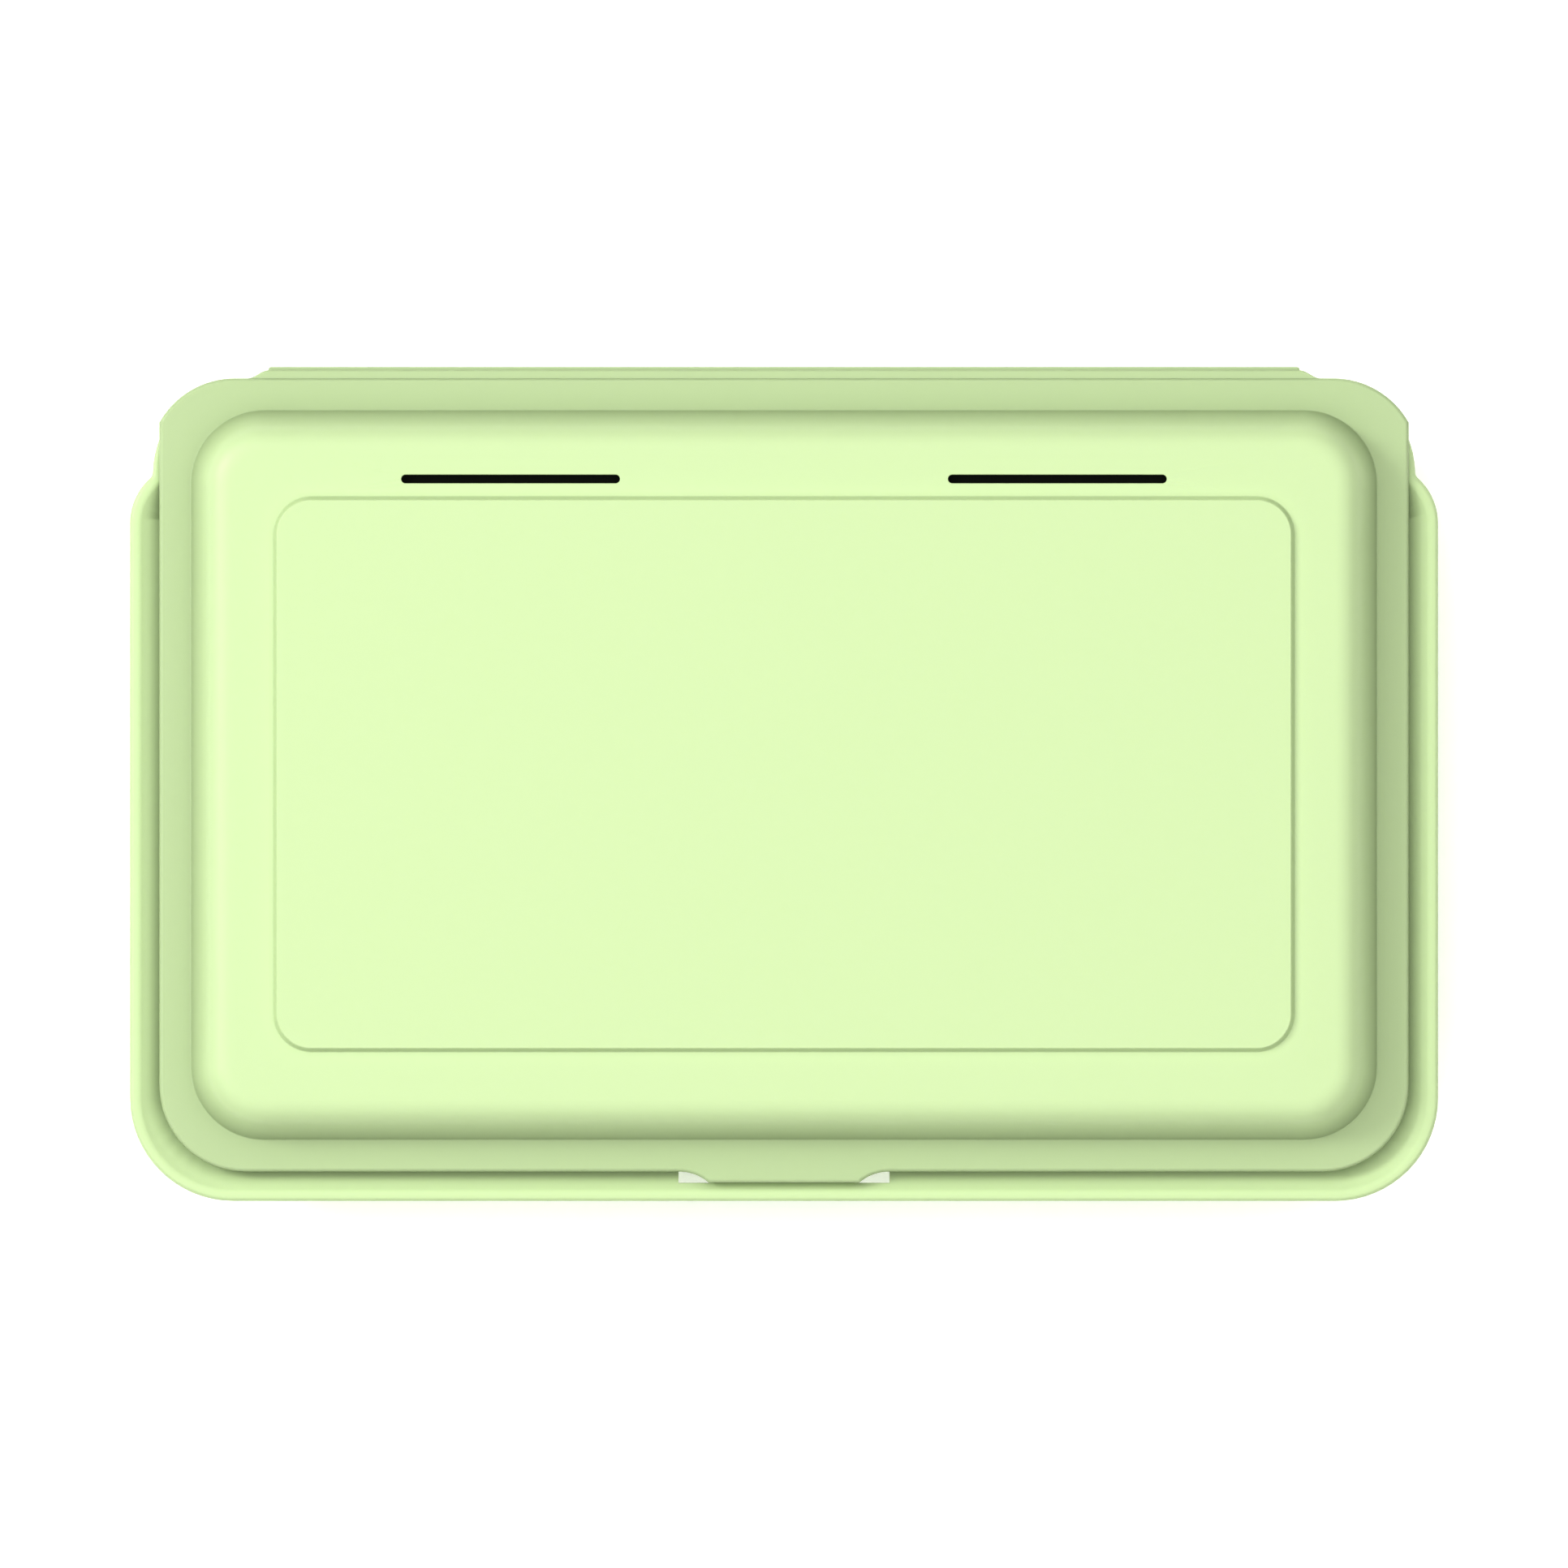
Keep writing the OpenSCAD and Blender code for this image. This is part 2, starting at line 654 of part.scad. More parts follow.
base_tray();
foot_pads();
fold_web();
control_deck();
speaker_grilles();
screen_window();
display_panel();
display_frame();
ribbon_cables();
main_board();
board_chips();
key_board();
side_keypad(-1);  // keypad_left
side_keypad(1);  // keypad_right
front_keypad();  // keypad_front
speaker_frame(-1);  // speaker_left
speaker_frame(1);  // speaker_right
speaker_cones();
speaker_gaskets();
speaker_leads();
battery_box();
battery_cells();
battery_springs();
battery_contacts();
battery_leads();
battery_door();
battery_door_screw();
power_switch();
power_light();
deck_screws();
board_screws();
lid_shell();
slot_cloths();
slot_retainers();
latch_tongue();
power_slider();
side_button(0, -1, "#f2937e");  // button_left_rear
side_button(1, -1, "#f6cf62");  // button_left_middle
side_button(2, -1, "#7fbfe0");  // button_left_front
side_button(0, 1, "#b9a3dc");  // button_right_rear
side_button(1, 1, "#8fd3b0");  // button_right_middle
side_button(2, 1, "#f3a8c4");  // button_right_front
translate([0, row_y, 0]) round_button(home_r, 2, "#8fcf6a");  // home_button
volume_button(-1);  // volume_down_button
volume_button(1);  // volume_up_button
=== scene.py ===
"""Toy tablet in a hinged clamshell case: every visible piece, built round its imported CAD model."""
import json
from math import acos, asin, atan, cos, pi, radians, sin, sqrt, tan

import bmesh
import bpy
from mathutils import Matrix, Vector


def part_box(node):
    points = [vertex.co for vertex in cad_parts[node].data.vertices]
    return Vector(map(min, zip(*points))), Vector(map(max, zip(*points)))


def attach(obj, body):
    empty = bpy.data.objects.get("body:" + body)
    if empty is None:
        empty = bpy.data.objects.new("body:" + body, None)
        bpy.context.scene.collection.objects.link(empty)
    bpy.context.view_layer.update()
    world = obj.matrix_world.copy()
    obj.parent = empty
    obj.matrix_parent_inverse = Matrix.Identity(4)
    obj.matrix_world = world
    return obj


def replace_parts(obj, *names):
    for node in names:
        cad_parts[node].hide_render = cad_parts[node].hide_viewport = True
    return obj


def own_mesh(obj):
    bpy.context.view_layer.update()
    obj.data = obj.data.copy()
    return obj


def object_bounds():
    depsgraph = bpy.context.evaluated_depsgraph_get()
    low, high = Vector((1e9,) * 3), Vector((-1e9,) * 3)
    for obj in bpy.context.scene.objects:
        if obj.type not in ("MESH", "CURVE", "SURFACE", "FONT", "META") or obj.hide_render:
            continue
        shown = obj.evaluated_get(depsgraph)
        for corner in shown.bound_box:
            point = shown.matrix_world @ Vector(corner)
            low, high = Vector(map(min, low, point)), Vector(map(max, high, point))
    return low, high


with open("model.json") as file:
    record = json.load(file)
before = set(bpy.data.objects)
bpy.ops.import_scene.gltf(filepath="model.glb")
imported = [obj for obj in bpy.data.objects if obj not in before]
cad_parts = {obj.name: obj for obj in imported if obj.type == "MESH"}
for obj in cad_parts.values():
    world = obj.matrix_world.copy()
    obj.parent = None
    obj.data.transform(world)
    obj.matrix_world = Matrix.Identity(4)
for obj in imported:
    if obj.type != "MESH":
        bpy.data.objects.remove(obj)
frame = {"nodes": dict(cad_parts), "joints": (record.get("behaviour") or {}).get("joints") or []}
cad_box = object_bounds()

MM = 0.001
NODES = frame["nodes"]
JOINTS = {joint["name"]: joint for joint in frame["joints"]}

# ---- Sizes, in metres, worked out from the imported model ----

CASE_LOW, CASE_HIGH = cad_box
LID_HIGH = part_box("lid_shell")[1]
DECK_LOW, DECK_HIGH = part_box("control_deck")
FOLD_Y = JOINTS["lid_fold"]["pos_m"][1]
PARTING = JOINTS["lid_fold"]["pos_m"][2]
SLOT_LOW, SLOT_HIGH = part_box("slot_retainers")

WALL = 1.8 * MM
FLANGE_TOP = PARTING + 1.6 * MM          # top of the lid's flange
GUTTER = PARTING - 2.2 * MM              # floor of the gutter
CREST = 1.1 * MM                         # width of the flat rim outside the gutter
GUTTER_ROLL = 2.3 * MM                   # radius by which the gutter's side rolls over
GUTTER_LEAN = radians(28)                # slope at which the side then runs down
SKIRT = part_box("base_tray")[1].z - 4.8 * MM   # underside of the base's flange
FLOOR = CASE_LOW.z + 1.2 * MM            # underside of the tray, held up by the feet
TRAY_FLOOR = FLOOR + WALL                # floor inside the tray
BACK_EDGE = 74.4 * MM                    # back edge of both flanges, where the fold's strips start

# Plans: half width, front edge, back edge, front corner radius, back corner radius
RIM = (CASE_HIGH.x, CASE_LOW.y, 59 * MM, 18.9 * MM, 11.2 * MM)
SEAT = (115.8 * MM, CASE_LOW.y + 3.3 * MM, BACK_EDGE, 17.5 * MM, 17.5 * MM)
LID = (LID_HIGH.x, -71.1 * MM, BACK_EDGE, 15.8 * MM, 15.8 * MM)
DOME = (LID_HIGH.x - 5.9 * MM, -65.2 * MM, BACK_EDGE - 5.9 * MM, 13.4 * MM, 13.4 * MM)
PANEL = (DOME[0] - 15 * MM, DOME[1] + 16 * MM, DOME[2] - 15.7 * MM, 7.1 * MM, 7.1 * MM)
LAND = (DOME[0] + 0.5 * MM, DOME[1] - 0.5 * MM, DOME[2] + 0.5 * MM, 13.9 * MM, 13.9 * MM)
TRAY = (DOME[0] - 1.2 * MM, DOME[1] + 0.6 * MM, DOME[2] - 0.6 * MM, 13 * MM, 13 * MM)
DECK = (DECK_HIGH.x, DECK_LOW.y, DECK_HIGH.y, 10.6 * MM, 10.6 * MM)

LEAN_RUN, LEAN_RISE = 2.5 * MM, 6 * MM   # the dome's leaning wall
SHOULDER = 5.4 * MM                      # radius of the dome's rounded shoulder
STEP = 0.9 * MM                          # width of the slope round the raised panel
RISE = 1 * MM                            # height of the raised panel
RING = LID_HIGH.z - RISE                 # flat ring on top of the dome
CEILING = RING - WALL
SLOT = (40 * MM, 1.5 * MM)               # length and width of a sound slot
SLOT_AT = (50.1 * MM, (SLOT_LOW.y + SLOT_HIGH.y) / 2)
CORNER = 16                              # facets round a corner
TOUCH = 0.001 * MM                       # points nearer than this are one point
SHARP = radians(32)                      # faces that meet at more than this have a real edge


# ---- Outlines ----

def arc(centre, radius, start, end, count=CORNER):
    """Points on an arc, angles in degrees from +X towards +Y."""
    for n in range(count + 1):
        turn = radians(start + (end - start) * n / count)
        yield centre[0] + radius * cos(turn), centre[1] + radius * sin(turn)


def mirrored(half):
    """A whole outline from its right half, which runs from the front to the back."""
    return half + [(-x, y) for x, y in reversed(half)]


def rounded(plan, inset=0.0):
    """Rounded rectangle, drawn in by inset."""
    half, front, back, front_r, back_r = plan
    return mirrored(
        list(arc((half - front_r, front + front_r), front_r - inset, -90, 0))
        + list(arc((half - back_r, back - back_r), back_r - inset, 0, 90)))


def shifted(points, x, y):
    """Points moved by x and y."""
    return [(px + x, py + y) for px, py in points]


def box_plan(width, depth, radius):
    return (width / 2, -depth / 2, depth / 2, radius, radius)


def pill(length, width, grow=0.0):
    """Slot with full round ends, centred on the origin."""
    return rounded(box_plan(length, width, width / 2 - TOUCH), -grow)


def circle(radius, count=48):
    return list(arc((0, 0), radius, 0, 360 * (1 - 1 / count), count - 1))


TAB_HALF, TAB_REACH, FLARE = 13.8 * MM, -73.15 * MM, 8.2 * MM


def lid_outline(inset=0.0):
    """Flange of the lid: tab in front, wide back corners cut off along the sides."""
    half, front, back, front_r, back_r = LID
    flare_y = front - FLARE
    root = TAB_HALF + sqrt(FLARE ** 2 - (TAB_REACH - flare_y) ** 2)
    tip = pi - asin((TAB_REACH + inset - flare_y) / (FLARE + inset))
    corner_x = half + 2 * MM - back_r
    cut = acos((half - inset - corner_x) / (back_r - inset))
    return mirrored(
        list(arc((root, flare_y), FLARE + inset, tip * 180 / pi, 90))
        + list(arc((half - front_r, front + front_r), front_r - inset, -90, 0))
        + list(arc((corner_x, back - back_r), back_r - inset, cut * 180 / pi, 90)))


NOTCH = 1.5 * MM


def base_outline(inset=0.0):
    """Flange of the base: the rim, a small hollow notch at its back ends, and the back seat."""
    half, front, back, front_r, back_r = RIM
    rim_c = (half - back_r, back - back_r)
    seat_r = SEAT[4]
    seat_c = (SEAT[0] - seat_r, SEAT[2] - seat_r)
    notch_x = SEAT[0] + NOTCH
    notch_y = rim_c[1] + sqrt((back_r + NOTCH) ** 2 - (notch_x - rim_c[0]) ** 2)
    meet = acos((notch_x - rim_c[0]) / (back_r + NOTCH)) * 180 / pi
    start = asin((notch_y - seat_c[1]) / seat_r) * 180 / pi
    return mirrored(
        list(arc((half - front_r, front + front_r), front_r - inset, -90, 0))
        + list(arc(rim_c, back_r - inset, 0, meet))
        + list(arc((notch_x, notch_y), NOTCH + inset, 180 + meet, 180, 6))
        + list(arc(seat_c, seat_r - inset, start, 90)))


def gutter_outline(inset):
    """Band between the rim, drawn in by inset, and the land that carries the lid."""
    half, front, back, front_r, back_r = RIM
    rim_c = (half - back_r, back - back_r)
    end = acos((LAND[0] - rim_c[0]) / (back_r - inset)) * 180 / pi
    outer = (list(arc((half - front_r, front + front_r), front_r - inset, -90, 0))
             + list(arc(rim_c, back_r - inset, 0, end)))
    land_r = LAND[3]
    inner = list(arc((LAND[0] - land_r, LAND[1] + land_r), land_r, 0, -90))
    return ([(-x, y) for x, y in reversed(outer)] + outer
            + inner + [(-x, y) for x, y in reversed(inner)])


# ---- Mesh making ----

def skin(bm, levels):
    """Wall extruded through loops that match point for point, given as (points, height)."""
    (points, z), *rest = levels
    row = [bm.verts.new((x, y, z)) for x, y in points]
    edges = [bm.edges.new(pair) for pair in zip(row, row[1:] + row[:1])]
    wall = list(row)
    for points, z in rest:
        grown = bmesh.ops.extrude_edge_only(bm, edges=edges)["geom"]
        edges = [part for part in grown if isinstance(part, bmesh.types.BMEdge)]
        fresh = {part for part in grown if isinstance(part, bmesh.types.BMVert)}
        row = [next(edge.other_vert(vert) for edge in vert.link_edges
                    if edge.other_vert(vert) in fresh) for vert in row]
        for vert, (x, y) in zip(row, points):
            vert.co = (x, y, z)
        wall += row
    bmesh.ops.remove_doubles(bm, verts=wall, dist=TOUCH)


def close_level(bm, z):
    """Flat face through all loops that lie open at one height, round the ones inside it."""
    loose = [edge for edge in bm.edges
             if edge.is_boundary and all(abs(vert.co.z - z) < TOUCH for vert in edge.verts)]
    bmesh.ops.triangle_fill(bm, edges=loose, use_beauty=True, normal=(0, 0, 1))


def quarter(radius, steps=4):
    """(inset, rise) pairs round a quarter circle, from an upright wall to a flat top."""
    return [(radius * (1 - cos(t)), radius * sin(t))
            for t in (pi / 2 * n / steps for n in range(steps + 1))]


def ease(t):
    return t * t * (3 - 2 * t)


def plate(bm, outline, low, high, edge_r, holes=()):
    """Plate with rounded edges. outline and holes are functions of an inset; holes grow with it."""
    for shape, way in [(outline, 1)] + [(gap, -1) for gap in holes]:
        under = [(shape(way * i), low + edge_r - r) for i, r in reversed(quarter(edge_r))]
        over = [(shape(way * i), high - edge_r + r) for i, r in quarter(edge_r)]
        skin(bm, under + over)
    close_level(bm, low)
    close_level(bm, high)


def turned(bm, profile, at=(0, 0), count=48):
    """Solid of revolution about an upright axis; profile is (radius, height), open at the axis."""
    start = [bm.verts.new((at[0] + r, at[1], z)) for r, z in profile]
    edges = [bm.edges.new(pair) for pair in zip(start, start[1:])]
    bmesh.ops.spin(bm, geom=start + edges, cent=(*at, 0), axis=(0, 0, 1), angle=2 * pi,
                   steps=count, use_merge=True)


def turn_outward(bm):
    """Make the faces of each closed shell agree, then face them so that its volume is positive.

    Blender's own recalculation faces some of these thin shells inwards.
    """
    left = set(bm.faces)
    wrong = []
    while left:
        first = left.pop()
        turned_over = {first: False}
        waiting = [first]
        while waiting:
            face = waiting.pop()
            for loop in face.loops:
                other = loop.link_loop_radial_next
                if other.face in left:
                    left.remove(other.face)
                    turned_over[other.face] = turned_over[face] != (other.vert == loop.vert)
                    waiting.append(other.face)
        volume = 0
        for face, over in turned_over.items():
            corners = [vert.co for vert in face.verts]
            part = sum(corners[0].dot(a.cross(b)) for a, b in zip(corners[1:], corners[2:]))
            volume += -part if over else part
        wrong += [face for face, over in turned_over.items() if over == (volume > 0)]
    bmesh.ops.reverse_faces(bm, faces=wrong)


def finish(bm, name, body, slot, *materials):
    """Turn a bmesh into a piece that rides on a body, smooth-shaded but for its real edges."""
    bmesh.ops.remove_doubles(bm, verts=bm.verts, dist=TOUCH)
    turn_outward(bm)
    mesh = bpy.data.meshes.new(name)
    for face in bm.faces:
        face.smooth = True
    for edge in bm.edges:
        if len(edge.link_faces) == 2 and edge.calc_face_angle(0) > SHARP:
            edge.smooth = False
    bm.to_mesh(mesh)
    bm.free()
    piece = bpy.data.objects.new(name, mesh)
    bpy.context.scene.collection.objects.link(piece)
    for material in materials:
        mesh.materials.append(material)
    weighted = piece.modifiers.new("even_shading", "WEIGHTED_NORMAL")
    weighted.keep_sharp = True
    weighted.weight = 80
    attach(piece, body)
    return piece


def carve(bm, *boxes):
    """Cut boxes, each given by its lowest and highest corner, out of a closed mesh."""
    bmesh.ops.remove_doubles(bm, verts=bm.verts, dist=TOUCH)
    turn_outward(bm)
    body = bpy.data.meshes.new("uncut")
    bm.to_mesh(body)
    bm.free()
    piece = bpy.data.objects.new("uncut", body)
    bpy.context.scene.collection.objects.link(piece)
    cutters = []
    for low, high in boxes:
        low, high = Vector(low), Vector(high)
        tool = bmesh.new()
        bmesh.ops.create_cube(tool, size=1, matrix=Matrix.Translation((low + high) / 2)
                              @ Matrix.Diagonal((*(high - low), 1)))
        mesh = bpy.data.meshes.new("cutter")
        tool.to_mesh(mesh)
        tool.free()
        cutter = bpy.data.objects.new("cutter", mesh)
        bpy.context.scene.collection.objects.link(cutter)
        cutters.append(cutter)
        cut = piece.modifiers.new("cut", "BOOLEAN")
        cut.operation, cut.solver, cut.object = "DIFFERENCE", "EXACT", cutter
    seen = piece.evaluated_get(bpy.context.evaluated_depsgraph_get())
    result = bmesh.new()
    result.from_mesh(seen.to_mesh())
    seen.to_mesh_clear()
    for scrap in cutters + [piece]:
        bpy.data.objects.remove(scrap)
    return result


# ---- Materials ----

def linear(hex_colour):
    """sRGB hex to linear RGBA."""
    channels = [int(hex_colour[n:n + 2], 16) / 255 for n in (1, 3, 5)]
    return (*[c / 12.92 if c <= 0.04045 else ((c + 0.055) / 1.055) ** 2.4 for c in channels], 1)


class Finish:
    """A material's node tree while it is being built."""

    def __init__(self, name):
        self.material = bpy.data.materials.new(name)
        self.material.use_nodes = True
        self.tree = self.material.node_tree
        self.shader = self.tree.nodes["Principled BSDF"]
        self.place = self.add("ShaderNodeTexCoord").outputs["Object"]

    def add(self, kind, settings=None, **inputs):
        """Add a node, set its properties, and set or link its inputs."""
        node = self.tree.nodes.new(kind)
        for key, value in (settings or {}).items():
            setattr(node, key, value)
        for key, value in inputs.items():
            socket = node.inputs[int(key[1:])] if key[1:].isdigit() else node.inputs[key.replace("_", " ")]
            if isinstance(value, bpy.types.NodeSocket):
                self.tree.links.new(value, socket)
            else:
                socket.default_value = value
        return node

    def wire(self, name, value):
        self.tree.links.new(value, self.shader.inputs[name])

    def set(self, **values):
        for name, value in values.items():
            self.shader.inputs[name.replace("_", " ")].default_value = value


# ---- The case ----

# The second green is painted shade, for the lid's flange round the dome's foot
PALE_GREEN, FLANGE_SHADE_GREEN = "#c4d3ad", "#b6c4a1"


def pastel_plastic(name, flange=None):
    """Polypropylene from a finely spark-eroded mould, satin: soft broad highlights on the dome.

    It is slightly see-through. Given a flange colour, the flange is painted darker as shade round the dome,
    fading to the pale green up the dome's leaning wall.
    """
    made = Finish(name)
    # Painted shade: the flange colour, darker, fades into the pale green up the dome's leaning wall
    if flange:
        height = made.add("ShaderNodeSeparateXYZ", Vector=made.place)
        rise = made.add("ShaderNodeMapRange", Value=height.outputs["Z"], From_Min=FLANGE_TOP,
                        From_Max=FLANGE_TOP + LEAN_RISE)
        tone = made.add("ShaderNodeMix", {"data_type": "RGBA"}, _0=rise.outputs[0], _6=linear(flange),
                        _7=linear(PALE_GREEN))
        made.wire("Base Color", tone.outputs[2])
    else:
        made.set(Base_Color=linear(PALE_GREEN))
    flow = made.add("ShaderNodeTexNoise", Vector=made.place, Scale=45.0, Detail=3.0)
    sheen = made.add("ShaderNodeMapRange", Value=flow.outputs[0], To_Min=0.44, To_Max=0.52)
    made.wire("Roughness", sheen.outputs[0])
    made.set(IOR=1.49, Subsurface_Weight=0.08, Subsurface_Scale=1.5 * MM)
    made.shader.inputs["Subsurface Radius"].default_value = (1.0, 1.0, 0.6)
    # The eroded pits are drawn at about 0.4 mm, coarser than life, so that they show at all
    grain = made.add("ShaderNodeTexNoise", Vector=made.place, Scale=2600.0, Detail=2.0)
    pits = made.add("ShaderNodeBump", Strength=0.12, Distance=0.02 * MM, Height=grain.outputs[0])
    made.wire("Normal", pits.outputs[0])
    return made.material


lid_green = pastel_plastic("lid_polypropylene_satin", FLANGE_SHADE_GREEN)
base_green = pastel_plastic("base_polypropylene_satin")
LEAN = atan(LEAN_RUN / LEAN_RISE)


def dome_levels(thick, bend=0.0):
    """(inset, height) up the dome's shoulder, from its leaning wall to its flat ring.

    thick draws the levels in to the inner face. bend starts the shoulder a touch further over.
    """
    across = SHOULDER - thick
    for step in range(9):
        start = LEAN + bend * (1 - step / 8)
        turn = start + (pi / 2 - start) * step / 8
        yield (LEAN_RUN + SHOULDER * cos(LEAN) - across * cos(turn),
               FLANGE_TOP + LEAN_RISE - SHOULDER * sin(LEAN) + across * sin(turn))


FOLD_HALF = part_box("fold_web")[1].x
FOLD_R = 0.6 * MM
LEAF_HALF = FOLD_HALF + 3.8 * MM         # the strips are this wide where they leave the flanges
LEAF_THICK = 1.1 * MM


def leaf_outline(inset=0.0):
    """Strip behind the flange that ends at the fold, with soft S-shaped ends."""
    out, back = LEAF_HALF - FOLD_HALF, FOLD_Y - inset - BACK_EDGE
    ends = [(LEAF_HALF - out * t - 0.4 * inset, BACK_EDGE + back * ease(t))
            for t in (n / 10 for n in range(11))]
    return mirrored([(LEAF_HALF, BACK_EDGE - 1 * MM)] + ends)


def leaf(bm, way):
    """Strip above (way 1) or below (way -1) the parting plane, hollowed along the fold."""
    hollow, soft = FOLD_R + 0.06 * MM, 0.3 * MM
    cove = [(hollow * cos(t), hollow * sin(t)) for t in (pi / 2 * n / 5 for n in range(6))]
    edge = [(i, LEAF_THICK - soft + r) for i, r in quarter(soft, 3)]
    skin(bm, [(leaf_outline(i), PARTING + way * r) for i, r in cove + edge])
    close_level(bm, PARTING)
    close_level(bm, PARTING + way * LEAF_THICK)


def along_x(bm, shape, low, high, edge=0.0):
    """Bar along X. shape is a function of an inset that gives (y, z) points."""
    start = len(bm.verts)
    first = [(shape(edge), low), (shape(0.3 * edge), low + 0.3 * edge)] if edge else []
    last = [(shape(0.3 * edge), high - 0.3 * edge), (shape(edge), high)] if edge else []
    skin(bm, first + [(shape(0), low + edge), (shape(0), high - edge)] + last)
    close_level(bm, low)
    close_level(bm, high)
    bm.verts.ensure_lookup_table()
    for vert in bm.verts[start:]:
        vert.co = (vert.co.z, vert.co.x, vert.co.y)


TONGUE_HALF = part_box("latch_tongue")[1].x
TONGUE_Y = JOINTS["latch_flex"]["pos_m"][1]
TONGUE_Z = JOINTS["latch_flex"]["pos_m"][2]
TONGUE_R = 0.7 * MM                      # radius of the tongue's round root


def tongue_root(inset):
    """Side view of the block under the tab, with the round channel that the tongue hangs in."""
    channel = list(arc((TONGUE_Y, TONGUE_Z), TONGUE_R + 0.06 * MM, 180, 0, 10))
    front, back, top = TONGUE_Y - 0.8 * MM, TONGUE_Y + 0.9 * MM, PARTING + 0.5 * MM
    return [(front, TONGUE_Z)] + channel + [(back, TONGUE_Z), (back, top), (front, top)]


def make_lid():
    """Flange, dome with its raised panel and two sound slots, and the lid's strip of the fold."""
    bm = bmesh.new()
    soft = 0.7 * MM
    skin(bm, [(lid_outline(0.2 * MM), PARTING), (lid_outline(0.05 * MM), PARTING + 0.07 * MM),
              (lid_outline(), PARTING + 0.25 * MM)]
         + [(lid_outline(i), FLANGE_TOP - soft + r) for i, r in quarter(soft, 5)])
    outside = list(dome_levels(0, radians(6)))
    outside[0] = (LEAN_RUN, FLANGE_TOP + LEAN_RISE)
    skin(bm, [(rounded(DOME, -0.3 * MM), FLANGE_TOP), (rounded(DOME, -0.06 * MM), FLANGE_TOP + 0.1 * MM),
              (rounded(DOME, 0.15 * MM), FLANGE_TOP + 0.4 * MM)]
         + [(rounded(DOME, i), z) for i, z in outside])
    foot = (WALL / cos(LEAN) - (FLANGE_TOP - PARTING) * LEAN_RUN / LEAN_RISE, PARTING)
    skin(bm, [(rounded(DOME, i), z) for i, z in [foot] + list(dome_levels(WALL))])
    steps = [(1 - cos(pi * n / 8)) / 2 for n in range(9)]
    skin(bm, [(rounded(PANEL, STEP * t), RING + RISE * ease(t)) for t in steps])
    skin(bm, [(rounded(PANEL, 1.2 * MM), CEILING), (rounded(PANEL, 1.2 * MM), CEILING + RISE)])
    for side in (-1, 1):
        edge = [(0.25, 0), (0.07, 0.07), (0, 0.25)]
        skin(bm, [(shifted(pill(*SLOT, i * MM), side * SLOT_AT[0], SLOT_AT[1]), RING - z * MM)
                  for i, z in edge]
             + [(shifted(pill(*SLOT), side * SLOT_AT[0], SLOT_AT[1]), CEILING)])
    for z in (PARTING, FLANGE_TOP, RING, CEILING, CEILING + RISE, LID_HIGH.z):
        close_level(bm, z)
    leaf(bm, 1)
    along_x(bm, tongue_root, -TONGUE_HALF - 0.3 * MM, TONGUE_HALF + 0.3 * MM)
    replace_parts(finish(bm, "lid", "lid", "case", lid_green), "lid_shell")


# Places in millimetres: screw posts that carry the deck, and feet
POSTS = [(-96, -53), (96, -53), (-96, 56.5), (96, 56.5), (0, 56.5), (-40, -53.4), (40, -53.4)]
FEET = [(-82, -46), (82, -46), (-82, 48), (82, 48)]
FOOT_R, FOOT_RECESS = 6 * MM, 0.6 * MM   # radius of a foot, and how far it is let into the floor
DOOR_LOW, DOOR_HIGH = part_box("battery_door")
DOOR_GAP = 0.3 * MM
LATCH_GAP = (19.35 * MM, CASE_LOW.y + 3.3 * MM, CASE_LOW.y + 7 * MM)
TABS = (-11 * MM, 11 * MM)               # where the door's two tabs lie along its left edge
TAB_ROOM = 4.5 * MM                      # half width of the room that the floor leaves for a tab
BEAD = Vector(JOINTS["battery_door_tip"]["pos_m"])   # the tabs tip on beads along this line
BEAD_R = 0.45 * MM


def tray_levels(thick, top):
    """(inset, height) up the tray's wall: the round bottom edge, then the leaning wall."""
    across = 4 * MM - thick
    for turn in (pi / 2 * n / 6 for n in range(6, -1, -1)):
        yield (thick + 3 * MM + across * (1 - cos(turn)), FLOOR + thick + across * (1 - sin(turn)))
    yield top


